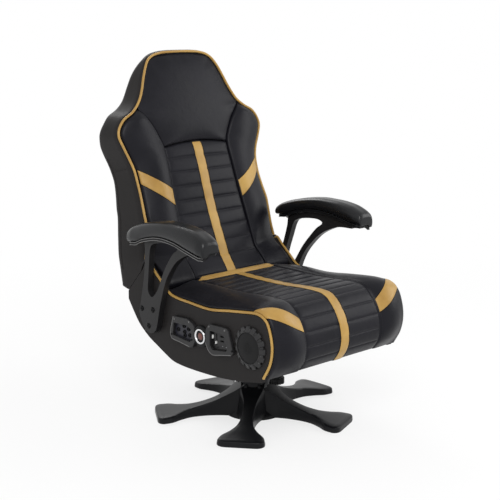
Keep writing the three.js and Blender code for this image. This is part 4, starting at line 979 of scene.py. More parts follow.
def grown(shop: Workshop, name: str, base: Piece, graph: NodeGraph, sizes: dict[str, float]) -> Piece:
    """Runs a tree on a base object and keeps its result as a plain mesh.

    Args:
        shop: The workshop that bakes it.
        name: The piece's name.
        base: The object that carries the tree.
        graph: The tree.
        sizes: Values of the tree's named inputs.

    Returns:
        The piece.
    """
    modifier = base.modifiers.new("grow", "NODES")
    modifier.node_group = graph.tree
    for item in graph.tree.interface.items_tree:
        if item.in_out == "INPUT" and item.name in sizes:
            modifier[item.identifier] = sizes[item.name]
    base.name = name
    return shop.baked(base)


STITCH = {"Pitch": 0.0062, "Length": 0.0042, "Radius": 0.00042}


def stitch_graph(material: bpy.types.Material) -> NodeGraph:
    """A tree that lays stitches along a polyline: short round threads at an even pitch.

    Args:
        material: The thread's material.

    Returns:
        The tree.
    """
    g = NodeGraph("stitches_along_seam")
    pitch, length, radius = g.number("Pitch", 0.006), g.number("Length", 0.004), g.number("Radius", 0.0006)
    curve = g.node("GeometryNodeMeshToCurve", {"Mesh": g.source.outputs["Geometry"]})
    spaced = g.node("GeometryNodeResampleCurve", {"Curve": curve.outputs[0], "Length": pitch}, mode="LENGTH")
    thread = g.node("GeometryNodeMeshCylinder", {"Radius": radius, "Depth": length}, Vertices=6)
    tangent = g.node("GeometryNodeInputTangent")
    turn = g.node("FunctionNodeAlignEulerToVector", {"Vector": tangent.outputs[0]}, axis="Z")
    copies = g.node("GeometryNodeInstanceOnPoints", {
        "Points": spaced.outputs[0], "Instance": thread.outputs["Mesh"], "Rotation": turn.outputs[0]})
    g.finish(copies.outputs[0], material)
    return g


def perforation_graph(material: bpy.types.Material) -> NodeGraph:
    """A tree that sets small dark discs, painted shade that stands for holes, over a dome in an even sunflower
    pattern.

    Args:
        material: The discs' material, a near-black painted shade.

    Returns:
        The tree.
    """
    g = NodeGraph("perforations_over_dome")
    count, reach = g.number("Count", 300, "NodeSocketInt"), g.number("Reach", 0.035)
    hole, rise = g.number("Hole", 0.0008), g.number("Rise", 0.006)
    points = g.node("GeometryNodePoints", {"Count": count})
    index = g.node("GeometryNodeInputIndex").outputs[0]
    share = g.math("SQRT", g.math("DIVIDE", g.math("ADD", index, 0.5), count))
    angle = g.math("MULTIPLY", index, math.pi * (3 - math.sqrt(5)))
    radius = g.math("MULTIPLY", share, reach)
    height = g.math("MULTIPLY", rise, g.math("SUBTRACT", 1.0, g.math("MULTIPLY", share, share)))
    place = g.node("ShaderNodeCombineXYZ", {
        "X": g.math("MULTIPLY", radius, g.math("COSINE", angle)),
        "Y": g.math("MULTIPLY", radius, g.math("SINE", angle)), "Z": height})
    moved = g.node("GeometryNodeSetPosition", {"Geometry": points.outputs[0], "Position": place.outputs[0]})
    disc = g.node("GeometryNodeMeshCylinder", {"Radius": hole}, Vertices=6, Depth=0.0006)
    copies = g.node("GeometryNodeInstanceOnPoints", {"Points": moved.outputs[0], "Instance": disc.outputs["Mesh"]})
    g.finish(copies.outputs[0], material)
    return g


def screw_graph(material: bpy.types.Material, template: Piece) -> NodeGraph:
    """A tree that puts one screw head on each point of a mesh, each turned by chance about its own axis.

    Args:
        material: The heads' material.
        template: One head at the origin.

    Returns:
        The tree.
    """
    g = NodeGraph("screws_on_points")
    direction = g.number("Direction", (0.0, 0.0, 1.0), "NodeSocketVector")
    seed = g.number("Seed", 3, "NodeSocketInt")
    info = g.node("GeometryNodeObjectInfo", Object=template)
    turn = g.node("FunctionNodeAlignEulerToVector", {"Vector": direction}, axis="Z")
    chance = g.node("FunctionNodeRandomValue", {"Seed": seed}, data_type="FLOAT")
    chance.inputs[3].default_value = math.pi / 2
    spin = g.node("ShaderNodeCombineXYZ", {"Z": chance.outputs[1]})
    turned = g.node("FunctionNodeRotateEuler", {"Rotation": turn.outputs[0], "Rotate By": spin.outputs[0]},
                    space="LOCAL")
    copies = g.node("GeometryNodeInstanceOnPoints", {
        "Points": g.source.outputs["Geometry"], "Instance": info.outputs["Geometry"],
        "Rotation": turned.outputs[0]})
    g.finish(copies.outputs[0], material)
    return g


# Upholstery


@dataclass
class PadForm:
    """A pad as a grid of points before it is stuffed: its front, back, pins and sewn grooves."""

    name: str
    front: np.ndarray
    back: np.ndarray
    pinned: np.ndarray
    groove: np.ndarray
    cap: float
    piece: Piece | None = None

    def normals(self) -> np.ndarray:
        """Unit normals of the front grid, away from the back.

        Returns:
            One normal for each point of the grid.
        """
        down, across = np.gradient(self.front, axis=0), np.gradient(self.front, axis=1)
        made = np.cross(down, across)
        made /= np.maximum(np.linalg.norm(made, axis=2), 1e-9)[..., None]
        away = np.sign(((self.front - self.back) * made).sum(axis=2).mean())
        return made * (away or 1.0)


class Stuffing:
    """Inflates pads between their seams with a short cloth simulation."""

    frames = 20

    def __init__(self, shop: Workshop) -> None:
        """Keeps the workshop."""
        self.shop = shop
        self.pads: list[PadForm] = []

    def add(self, pad: PadForm) -> PadForm:
        """Makes a pad's mesh and puts it in the queue.

        Args:
            pad: The pad's form.

        Returns:
            The same form, with its piece.
        """
        points, faces = slab(pad.front, pad.back)
        pad.piece = self.shop.object(pad.name, points, faces)
        self.pads.append(pad)
        return pad

    def _cloth(self, pad: PadForm) -> None:
        """Adds a cloth that holds the pad's seams, back and sides.

        Args:
            pad: The pad.
        """
        count = pad.pinned.size
        held = [n for n, pin in enumerate(pad.pinned.ravel()) if pin] + list(
            range(count, len(pad.piece.data.vertices)))
        group = pad.piece.vertex_groups.new(name="held")
        group.add(held, 1.0, "REPLACE")
        cloth = pad.piece.modifiers.new("cloth", "CLOTH")
        s = cloth.settings
        s.vertex_group_mass = "held"
        s.quality, s.mass, s.air_damping = 5, 0.3, 2.0
        s.tension_stiffness = s.compression_stiffness = 18
        s.shear_stiffness, s.bending_stiffness = 8, 0.8
        s.use_pressure, s.uniform_pressure_force = True, 4.0
        s.effector_weights.gravity = 0
        cloth.collision_settings.use_collision = False
        cloth.point_cache.frame_start, cloth.point_cache.frame_end = 1, self.frames

    def _settle(self, pad: PadForm) -> np.ndarray:
        """The pad's front after the simulation, with its movement capped.

        Args:
            pad: The pad.

        Returns:
            The front's points.
        """
        shown = pad.piece.evaluated_get(bpy.context.evaluated_depsgraph_get())
        co = np.zeros(len(shown.data.vertices) * 3)
        shown.data.vertices.foreach_get("co", co)
        moved = (co.reshape(-1, 3) - self.shop.shift) / MM
        front = moved[: pad.pinned.size].reshape(pad.front.shape)
        step = front - pad.front
        size = np.linalg.norm(step, axis=2)[..., None]
        return pad.front + step * np.minimum(1, pad.cap / np.maximum(size, 1e-9))

    def run(self) -> None:
        """Stuffs every pad at once, sews in the grooves and smooths the result."""
        scene = bpy.context.scene
        fronts = {}
        for pad in self.pads:
            self._cloth(pad)
        for frame in range(1, self.frames + 1):
            scene.frame_set(frame)
        fronts = {pad.name: self._settle(pad) for pad in self.pads}
        for pad in self.pads:
            pad.piece.modifiers.clear()
            pad.piece.vertex_groups.clear()
        scene.frame_set(1)
        for pad in self.pads:
            front = fronts.get(pad.name, pad.front + 0.6 * pad.cap * (~pad.pinned)[..., None] * pad.normals())
            front = front - pad.normals() * pad.groove[..., None]
            mesh = pad.piece.data
            co = np.zeros(len(mesh.vertices) * 3)
            mesh.vertices.foreach_get("co", co)
            co = co.reshape(-1, 3)
            co[: pad.pinned.size] = front.reshape(-1, 3) * MM + self.shop.shift
            mesh.vertices.foreach_set("co", co.ravel())
            mesh.update()
            smooth = pad.piece.modifiers.new("smooth", "SUBSURF")
            smooth.levels = smooth.render_levels = 1
            self.shop.baked(pad.piece)
            LOG.info("%s stuffed, %d points", pad.name, len(pad.piece.data.vertices))


def sewn_rows(count: int) -> list[tuple[float, float]]:
    """Places along a cushion's channels with the share of groove depth at each.

    Args:
        count: The number of channels.

    Returns:
        Pairs of place and share of depth.
    """
    made = [(k + s, depth) for k in range(count) for s, depth in (
        (0, 1.0), (0.045, 0.55), (0.12, 0.1), (0.3, 0.0), (0.5, 0.0), (0.7, 0.0), (0.88, 0.1), (0.955, 0.55))]
    return [(s / count, depth) for s, depth in [*made, (count, 1.0)]]


class Overlay:
    """Lays thin bands of gold leather on finished pads."""

    # How far the painted seam shade reaches past each long side of a band.
    edge = 1.5
    lift = 0.3

    def __init__(self, shop: Workshop) -> None:
        """Keeps the workshop."""
        self.shop = shop
        self.trees: dict[str, BVHTree] = {}

    def _tree(self, pad: Piece) -> BVHTree:
        """A search tree over a pad's surface.

        Args:
            pad: The pad.

        Returns:
            Its tree, made once.
        """
        if pad.name not in self.trees:
            self.trees[pad.name] = BVHTree.FromPolygons(
                [v.co for v in pad.data.vertices], [p.vertices for p in pad.data.polygons])
        return self.trees[pad.name]

    def on_surface(self, pad: Piece, point: np.ndarray) -> tuple[np.ndarray, np.ndarray]:
        """The nearest place on a pad and its normal, in millimetres."""
        near = self._tree(pad).find_nearest(Vector(point * MM + self.shop.shift))
        return (np.array(near[0]) - self.shop.shift) / MM, np.array(near[1])

    def _laid(self, name: str, pad: Piece, places: np.ndarray, rise: np.ndarray, sink: float) -> Piece:
        """A closed strip over a grid of places near a pad.

        Args:
            name: The piece's name.
            pad: The pad under it.
            places: Rows and columns of points near the pad's surface.
            rise: How far it stands proud, away from its edges.
            sink: How far its underside lies in the pad.

        Returns:
            The strip.
        """
        rows, columns = places.shape[:2]
        found = [[self.on_surface(pad, places[i, j]) for j in range(columns)] for i in range(rows)]
        base = np.array([[p for p, _ in row] for row in found])
        normal = np.array([[n for _, n in row] for row in found])
        for _ in range(3):
            normal[1:-1] = (normal[:-2] + 2 * normal[1:-1] + normal[2:]) / 4
            normal /= np.linalg.norm(normal, axis=2)[..., None]
        across = np.minimum(np.linspace(0, 1, columns), np.linspace(1, 0, columns))
        along = np.minimum(np.linspace(0, 1, rows), np.linspace(1, 0, rows)) * rows
        height = rise * ease(across * 6)[None, :] * ease((along[:, None] + 1) / 2) + 0.12
        top = base + normal * height[..., None]
        return self.shop.object(name, *slab(top, base - normal * sink, 1))

    def band(self, name: str, pad: Piece, places: np.ndarray, body: str,
             rise: np.ndarray | float = 1.0) -> None:
        """A gold band on a pad, with a dark strip of painted seam shade along each of its long sides.

        Args:
            name: The piece's name.
            pad: The pad under it.
            places: Rows along the band and columns across it, of points near the pad's surface.
            body: The body that it rides on.
            rise: How far its middle stands proud.
        """
        self.shop.dress(self._laid(name, pad, places, np.asarray(rise, float), 1.8), body, GOLD)
        # Painted seam shade: a near-black strip, wider than the band on each side, laid just under it.
        out = [places[:, a] - places[:, b] for a, b in ((0, 1), (-1, -2))]
        first, last = (step / np.maximum(np.linalg.norm(step, axis=1), 1e-6)[:, None] * self.edge for step in out)
        under = np.concatenate([(places[:, 0] + first)[:, None], places, (places[:, -1] + last)[:, None]], axis=1)
        self.shop.dress(self._laid(f"{name}_edging", pad, under, np.asarray(0.2), 1.2), body, SEAM_SHADE)

    def seam(self, pad: Piece, places: np.ndarray) -> Piece:
        """A polyline that lies on a pad, as a base for stitches.

        Args:
            pad: The pad.
            places: Points near its surface.

        Returns:
            The polyline.
        """
        points = []
        for place in places:
            at, normal = self.on_surface(pad, place)
            points.append(at + normal * self.lift)
        mesh = bpy.data.meshes.new("stitches")
        mesh.from_pydata((np.array(points) * MM + self.shop.shift).tolist(),
                         [(k, k + 1) for k in range(len(points) - 1)], [])
        return placed("stitches", mesh)


@dataclass
class SeatUpholstery:
    """The seat's one long cushion, from the crease over the front edge, with its bands and piping."""

    shop: Workshop
    half: float = 262.7
    seam: float = 150.0
    crown: float = 14.0
    channels: int = 15
    rear: float = 95.5
    edge_rise: float = 11.0
    stripe_top: float = 16.0
    stripe_front: float = 16.8
    horn_piping: float = 78.0
    horn_angles: tuple[float, ...] = (0.785, 0.873, 0.95)
    corner_marks: Pairs = ((-290, 430), (-332, 406), (-350, 399), (-365, 361))
    pad: PadForm | None = None
    middle: SmoothPath = field(init=False)
    piped: SmoothPath = field(init=False)
    edge: SmoothPath = field(init=False)

    def __post_init__(self) -> None:
        """Makes the lines that the surface follows."""
        shares = [(0.175, 0.966), (0, 0.962), (-0.35, 0.970), (-0.568, 0.996), (-0.749, 1), (-0.818, 0.979),
                  (-0.875, 0.915), (-0.957, 0.744), (-1, 0.521), (-0.984, 0.325), (-0.918, 0.174)]
        points = [D.side(s) for s in shares]
        self.middle = SmoothPath([(self.rear, points[0][1]), *points])
        piped = [D.side(s) for s in PIPED_EDGE]
        first = next(k for k, (y, _) in enumerate(piped) if y < self.rear)
        self.piped = SmoothPath([(self.rear, piped[first][1]), *piped[first + 1:]])
        rise = shifted(piped[first + 1:], -self.edge_rise)
        self.edge = SmoothPath([(self.rear, piped[first][1] + self.edge_rise / 2), *rise])

    def surface(self, u: np.ndarray, x: np.ndarray, lift: float = 0.0) -> np.ndarray:
        """Points of the cushion's surface at shares of its length and distances from the middle.

        Args:
            u: Shares of the cushion's length.
            x: Distances from the middle.
            lift: How far above the surface.

        Returns:
            The points.
        """
        u, x = np.broadcast_arrays(np.asarray(u, float), np.asarray(x, float))
        middle, edge = self.middle.at(u), self.edge.at(u)
        along = self.middle.along(u)
        outward = np.stack([along[..., 1], -along[..., 0]], axis=-1)
        across = np.maximum((np.abs(x) - self.seam) / (self.half - self.seam), 0)
        fade = np.minimum(np.minimum(u / 0.16, 1), (1 - u) / 0.12)
        point = middle + (edge - middle) * ease(across)[..., None]
        swell = self.crown * fade * np.sin(np.pi * np.minimum(across, 1)) + lift
        point = point + outward * swell[..., None]
        return np.stack([x, point[..., 0], point[..., 1]], axis=-1)

    def stripe_half(self, u: np.ndarray) -> np.ndarray:
        """Half the middle band's width along the cushion."""
        return self.stripe_top + (self.stripe_front - self.stripe_top) * ease((np.asarray(u) - 0.5) / 0.25)

    def build(self, stuffing: Stuffing) -> None:
        """Makes the cushion's grid, with columns knotted at its seams.

        Args:
            stuffing: The queue that takes the cushion.
        """
        rows = sewn_rows(self.channels)
        u = np.array([place for place, _ in rows])[:, None]
        sunk = np.array([depth for _, depth in rows])[:, None]
        inner = [30, 44, 60, 78, 96, 114, 130, 141, 147.5]
        outer = [152.5, 159, 170, 184, 198, 212, 226, 238, 248, 255.5]
        right = np.array([0, 9, 15.5, 20.5, *inner, self.seam, *outer])
        columns = np.concatenate([-right[:0:-1], right])
        front = self.surface(u, columns[None, :], lift=-2.5)
        fade = ease((self.half - np.abs(columns)) / 18)
        front = front + (self.surface(u, columns[None, :], lift=0) - front) * (1 - fade)[None, :, None]
        line, along = self.piped.at(u[:, 0]), self.piped.along(u[:, 0])
        side = np.stack([along[:, 1], -along[:, 0]], axis=1)
        rise = self.edge.at(u[:, 0])
        rounds = [(self.half - 2.6, rise + 0.9 * side * -1), (self.half, line + (rise - line) * 0.62),
                  (self.half - 0.6, line + side * 5.2)]
        right_side = [np.column_stack([np.full(len(rows), x), p]) for x, p in rounds]
        left_side = [p * [-1, 1, 1] for p in right_side[::-1]]
        front = np.concatenate([np.stack(left_side, 1), front, np.stack(right_side, 1)], axis=1)
        wide = np.concatenate([-np.array([x for x, _ in rounds[::-1]]), columns, [x for x, _ in rounds]])
        bed, reach = D.seat_height - 66, -(D.seat_reach - 46)
        corners = [(self.rear, bed), (reach + 28, bed), (reach, bed - 28), (reach, D.underside + 0.2 * D.body_depth)]
        lengths = np.concatenate([[0], np.cumsum([math.dist(a, b) for a, b in zip(corners, corners[1:])])])
        inner_y, inner_z = (np.interp(u[:, 0], lengths / lengths[-1], [c[k] for c in corners]) for k in (0, 1))
        flat = np.clip(wide * 0.93, -246, 246)
        back = np.stack([np.broadcast_to(flat[None, :], front.shape[:2]),
                         np.broadcast_to(inner_y[:, None], front.shape[:2]),
                         np.broadcast_to(inner_z[:, None], front.shape[:2])], axis=-1)
        size = np.abs(wide)[None, :]
        stripe = self.stripe_half(u)
        ribbed = (size > stripe + 1) & (size < self.seam - 0.5)
        pinned = (ribbed & (sunk >= 1)) | (np.abs(size - self.seam) < 0.1) | (size > self.half - 9)
        pinned[:2] = pinned[-2:] = True
        groove = np.where(ribbed, 2.9 * sunk * ease((self.seam - size) / 9), 0.0)
        groove = groove + np.where(np.abs(size - self.seam) < 0.1, 3.4, 0) + np.where(
            np.abs(np.abs(size - self.seam) - 2.5) < 0.2, 1.2, 0)
        self.pad = stuffing.add(PadForm("seat_upholstery", front, back, pinned, groove, 4.5))

    def trim(self, overlay: Overlay) -> None:
        """Lays the gold bands on the cushion and pipes its edges.

        Args:
            overlay: What lays the bands.
        """
        piece = self.pad.piece
        self.shop.dress(piece, "seat_body", LEATHER, ["seat_cushion"], fill=0.8)
        u = np.linspace(0.022, 0.995, 150)[:, None]
        t = np.linspace(-1, 1, 13)[None, :]
        overlay.band("seat_middle_band", piece, self.surface(u, t * self.stripe_half(u), lift=2), "seat_body")
        reach = np.linspace(-1, 1, 72)[:, None]
        width = np.minimum(1, (1 - np.abs(reach)) * 7 + 0.12)
        t = np.linspace(-1, 1, 17)[None, :]
        crease = self.surface(0.0265 + 0.0235 * t * width, reach * 152, lift=2)
        overlay.band("seat_crease_band", piece, crease, "seat_body", rise=1.2 + 5.6 * ease((1 - t) / 1.6) * width)
        dense = np.linspace(0, 1, 2000)
        outer, inner = (self.surface(dense, np.full(2000, x))[:, 1:] for x in (257.0, 151.5))
        marks = [float(dense[np.linalg.norm(line - mark, axis=1).argmin()])
                 for line, mark in zip((outer, outer, inner, inner), self.corner_marks)]
        v = np.concatenate([np.linspace(0, 1, 40), np.ones(7)])[:, None]
        down = np.concatenate([np.zeros(40), np.linspace(0, 1, 8)[1:]])[:, None, None]
        s = np.linspace(0, 1, 17)[None, :]
        top = mix(marks[2], marks[0], v) + 0.006 * np.sin(np.pi * v)
        foot = mix(marks[3], marks[1], v) + 0.011 * np.sin(np.pi * v)
        at = top + (foot - top) * s
        over = self.surface(at, np.broadcast_to(mix(151.5, 261.0, v), at.shape), lift=2)
        wall = self.piped.at(at) + 0.12 * (self.edge.at(at) - self.piped.at(at))
        wall = np.concatenate([np.full((*at.shape, 1), 263.5), wall], axis=-1)
        corner = over + (wall - over) * down
        for side, word in SIDES:
            overlay.band(f"seat_corner_band_{word}", piece, corner * [side, 1, 1], "seat_body")
            line = [*[(D.fold_y + self.horn_piping * math.cos(a), D.fold_z + self.horn_piping * math.sin(a))
                      for a in self.horn_angles], *[D.side(s) for s in PIPED_EDGE[1:]]]
            piped = SmoothPath([(side * (D.seat_half - D.piping_radius + 1), *p) for p in line])
            made = self.shop.object(f"seat_piping_cord_{word}",
                                    *tube(piped.at(np.linspace(0, 1, 190)), D.cord_radius, 14))
            self.shop.dress(made, "seat_body", GOLD, [f"seat_piping_{word}"])

    def stitches(self, overlay: Overlay) -> None:
        """Sews rows of stitches beside the cushion's seams and bands.

        Args:
            overlay: What lays the seams.
        """
        u = np.linspace(0.03, 0.985, 220)
        bases = []
        for side in (-1, 1):
            line = self.surface(u, np.full(len(u), side * (self.seam + 5.5)))
            bases.append(overlay.seam(self.pad.piece, line))
            line = self.surface(u, side * (self.stripe_half(u) + 3.2))
            bases.append(overlay.seam(self.pad.piece, line))
        join_into(bases)
        made = grown(self.shop, "seat_stitches", bases[0], stitch_graph(THREAD.material()), STITCH)
        self.shop.dress(made, "seat_body", THREAD)


def join_into(objects: Sequence[Piece]) -> Piece:
    """Joins mesh objects into the first.

    Args:
        objects: The pieces.

    Returns:
        The first piece, with all forms in it.
    """
    first = objects[0]
    shape = bmesh.new()
    for obj in objects:
        shape.from_mesh(obj.data)
    shape.to_mesh(first.data)
    shape.free()
    for obj in objects[1:]:
        bpy.data.objects.remove(obj)
    return first


@dataclass
class BackUpholstery:
    """The backrest's middle pad, two bolsters and headrest, with their bands and piping."""

    shop: Workshop
    form: BackForm
    ribs: int = 9
    seam_gap: float = 0.8
    stripe_half: float = 17.6
    low_half: float = 247.4
    horn_reach: float = 83.5
    taper: float = 1.5
    flap: tuple[float, float] = (82.2, 85.4)
    flap_angle: tuple[float, float] = (0.66, 0.93)
    flap_span: tuple[float, float] = (249.0, 266.8)
    pads: dict[str, PadForm] = field(default_factory=dict)

    def _rear(self, front: np.ndarray) -> np.ndarray:
        """The plain back of a pad, on the board.

        Args:
            front: The front's points.

        Returns:
            The back's points.
        """
        back = front.copy()
        back[..., 1] = np.maximum(self.form.pad_rear_y(front[..., 2]), front[..., 1] + 6)
        mid = back[..., 0].mean(axis=1, keepdims=True)
        reach = np.maximum(np.abs(back[..., 0] - mid).max(axis=1, keepdims=True), 1e-6)
        back[..., 0] = mid + (back[..., 0] - mid) * (1 - self.taper / reach)
        return back

    def _roll(self) -> list[float]:
        """Heights round the roll in the crease."""
        return [D.fold_z + s * D.roll_radius for s in (-0.94, -0.86, -0.72, -0.5, -0.25, -0.05)]

    def build(self, stuffing: Stuffing) -> None:
        """Makes the grids of the four pads.

        Args:
            stuffing: The queue that takes the pads.
        """
        self._middle(stuffing)
        self._bolsters(stuffing)
        self._head(stuffing)

    def _edge_drop(self, share: np.ndarray, drop: float) -> np.ndarray:
        """How far a pad's edge is drawn in, for a share across from one edge to the other."""
        near = np.minimum(share, 1 - share)
        return drop * drawn_in(near / 0.05)

    def _middle(self, stuffing: Stuffing) -> None:
        """The ribbed middle pad.

        Args:
            stuffing: The queue that takes the pad.
        """
        f = self.form
        foot, top = D.fold_z + 5, f.head_foot - 0.8
        rows = [(z, 0.0) for z in self._roll()] + [(mix(foot, top, s), d) for s, d in sewn_rows(self.ribs)]
        z = np.array([r for r, _ in rows])[:, None]
        sunk = np.array([d for _, d in rows])[:, None]
        right = np.array([0, 0.07, 0.125, 0.155, 0.22, 0.32, 0.44, 0.56, 0.68, 0.79, 0.88, 0.94, 0.975, 0.992, 1])
        t = np.concatenate([-right[:0:-1], right])[None, :]
        half = f.seam_x(z - f.head_arch * f.fade(z)) - self.seam_gap
        x = t * half
        height = z - f.arch_drop(x, z)
        drop = self._edge_drop((t + 1) / 2, 6.0)
        end = np.where(z > top - 4, ease((z - top + 4) / 4) * 4, 0)
        front = np.stack([x, f.front_y(x, height) + 2.0 + drop + end, height], axis=-1)
        ribbed = (np.abs(x) > self.stripe_half + 1) & (np.abs(t) < 0.99)
        pinned = (ribbed & (sunk >= 1)) | (np.abs(t) > 0.97) | (z < foot + 1) | (z > top - 1)
        groove = np.where(ribbed, 2.6 * sunk * ease((1 - np.abs(t)) / 0.07), 0)
        self.pads["middle"] = stuffing.add(PadForm(
            "back_middle_upholstery", front, self._rear(front), pinned, groove, 4.0))

    def _bolsters(self, stuffing: Stuffing) -> None:
        """The right bolster, and its mirror image.

        Args:
            stuffing: The queue that takes the pads.
        """
        f = self.form
        shares = np.concatenate([np.linspace(0.012, 0.125, 9), np.linspace(0.14, 0.53, 24),
                                 np.linspace(0.547, 0.748, 18)])
        z = np.array([*self._roll(), *[D.back_z(s) for s in shares]])[:, None]
        t = np.array([0, 0.012, 0.035, 0.08, 0.15, 0.24, 0.34, 0.45, 0.56, 0.67, 0.77, 0.86, 0.92, 0.965, 1])[None, :]
        inner = f.seam_x(z) + self.seam_gap
        away = np.hypot(f.rim_y(z) - f.lip - D.fold_y, z - D.fold_z)
        edge = np.where(away < self.horn_reach, np.minimum(f.pad_half(z), self.low_half), f.pad_half(z))
        x = inner + (edge - inner) * t
        drop, outer = 6.0 * drawn_in(t / 0.06), 3.0 * drawn_in((1 - t) / 0.05)
        top = z[-1, 0]
        end = 5 * ease((z - top + 6) / 6)
        front = np.stack([x, f.front_y(x, z) + 2.0 * ease(t / 0.2) * ease((1 - t) / 0.2) + drop + outer + end,
                          np.broadcast_to(z, x.shape)], axis=-1)
        pinned = np.broadcast_to((t < 0.02) | (t > 0.95) | (z < D.fold_z) | (z > top - 1), x.shape)
        groove = np.zeros(x.shape)
        for side, word in SIDES:
            grid = front * [side, 1, 1]
            self.pads[word] = stuffing.add(PadForm(
                f"side_bolster_upholstery_{word}", grid, self._rear(grid), pinned.copy(), groove, 6.0))

    def _head(self, stuffing: Stuffing) -> None:
        """The headrest over the arched seam.

        Args:
            stuffing: The queue that takes the pad.
        """
        f = self.form
        outline = f.inside(5.6)
        outline = outline[outline[:, 1] > f.head_foot + 4]
        path = SmoothPath([(f.seam_x(f.head_foot) - 1, f.head_foot), *outline], 30)
        heights = np.unique(np.round(np.maximum.accumulate(path.at(np.linspace(0, 1, 46))[:, 1]), 2))
        z = heights[:, None]
        right = np.array([0, 0.1, 0.2, 0.3, 0.4, 0.5, 0.6, 0.69, 0.77, 0.84, 0.9, 0.945, 0.975, 0.992, 1])
        t = np.concatenate([-right[:0:-1], right])[None, :]
        half = np.minimum(f.seam_x(z - f.head_arch * f.fade(z)) - self.seam_gap, f.pad_half(z))
        x = t * half
        foot = 5.5 * drawn_in((z - z[0, 0]) / 8)
        drop = self._edge_drop((t + 1) / 2, 5.0)
        top = 5.0 * ease((z - z[-1, 0] + 8) / 8)
        height = z - f.arch_drop(x, z)
        front = np.stack([x, f.front_y(x, height) + 1.5 + drop + foot + top, height], axis=-1)
        pinned = (np.abs(t) > 0.98) | (z < z[0, 0] + 1) | (z > z[-1, 0] - 1)
        self.pads["head"] = stuffing.add(PadForm(
            "headrest_upholstery", front, self._rear(front), pinned, np.zeros(x.shape), 6.5))

    def trim(self, overlay: Overlay) -> None:
        """Lays the gold bands, pipes the rim and dresses the pads.

        Args:
            overlay: What lays the bands.
        """
        nodes = {"middle": "back_middle_cushion", "right": "side_bolster_right", "left": "side_bolster_left",
                 "head": "head_cushion"}
        for key, node in nodes.items():
            self.shop.dress(self.pads[key].piece, "backrest", LEATHER, [node], fill=0.75)
        f = self.form
        z = np.linspace(D.fold_z - 12, f.head_foot - 1.5, 130)[:, None]
        x = np.linspace(-1, 1, 11)[None, :] * self.stripe_half
        places = np.stack(np.broadcast_arrays(x, f.front_y(x, z), z - f.arch_drop(x, z)), axis=-1)
        overlay.band("back_middle_band", self.pads["middle"].piece, places, "backrest")
        v, s = np.linspace(0, 1, 40)[:, None], np.linspace(0, 1, 17)[None, :]
        top, foot = mix(684.0, 746.0, v), mix(634.0, 704.0, v)
        for side, word in SIDES:
            height = top + (foot - top) * s
            near, far = f.seam_x(height) + 3.0, f.pad_half(height) - 1.2
            across = near + (far - near) * v
            places = np.stack([side * across, f.front_y(across, height), height], axis=-1)
            overlay.band(f"back_corner_band_{word}", self.pads[word].piece, places, "backrest")
        self._piping()

    def _piping(self) -> None:
        """The round piping over the rim from one side of the fold to the other."""
        f = self.form
        low = D.back_z(0.0965)
        right = [(D.seat_half - 5.0, float(f.rim_y(low)), low),
                 *[tuple(p) for p in f.rim if p[2] > low + 12]]
        line = [*right, *[(-x, y, z) for x, y, z in right[::-1]]]
        path = SmoothPath(line, 24)
        made = self.shop.object("back_piping_cord", *tube(path.at(np.linspace(0, 1, 420)), D.cord_radius, 14))
        self.shop.dress(made, "backrest", GOLD, ["back_piping"])
        for side, word in SIDES:
            flap = self.shop.object(f"fold_flap_{word}", *slab(*(self._arc(side, r) for r in self.flap), 1))
            self.shop.dress(flap, "backrest", LEATHER)

    def _arc(self, side: int, radius: float) -> np.ndarray:
        """A grid over a short arc round the fold's axis, between the pads and the rim.

        Args:
            side: 1 on the right, -1 on the left.
            radius: The arc's radius.

        Returns:
            The grid.
        """
        angle, x = np.linspace(*self.flap_angle, 12)[:, None], side * np.linspace(*self.flap_span, 6)[None, :]
        y, z = D.fold_y + radius * np.cos(angle), D.fold_z + radius * np.sin(angle)
        return np.stack(np.broadcast_arrays(x, y, z), axis=-1)

    def stitches(self, overlay: Overlay) -> None:
        """Sews stitches beside the bolsters' seams, the headrest's foot and the middle band.

        Args:
            overlay: What lays the seams.
        """
        f = self.form
        bases = []
        z = np.linspace(D.back_z(0.03), f.head_foot - 8, 160)
        for side, word in SIDES:
            x = side * (f.seam_x(z) + 8)
            line = np.stack([x, f.front_y(x, z), z], axis=-1)
            bases.append(overlay.seam(self.pads[word].piece, line))
            x = np.full(len(z), side * (self.stripe_half + 3.2))
            line = np.stack([x, f.front_y(x, z), z - f.arch_drop(x, z)], axis=-1)
            bases.append(overlay.seam(self.pads["middle"].piece, line))
        x = np.linspace(-1, 1, 120) * (float(f.seam_x(f.head_foot)) - 12)
        height = np.full(len(x), f.head_foot + 8.0)
        line = np.stack([x, f.front_y(x, height), height - f.arch_drop(x, height)], axis=-1)
        bases.append(overlay.seam(self.pads["head"].piece, line))
        join_into(bases)
        made = grown(self.shop, "back_stitches", bases[0], stitch_graph(THREAD.material()), STITCH)
        self.shop.dress(made, "backrest", THREAD)


# Shell, panels and arms


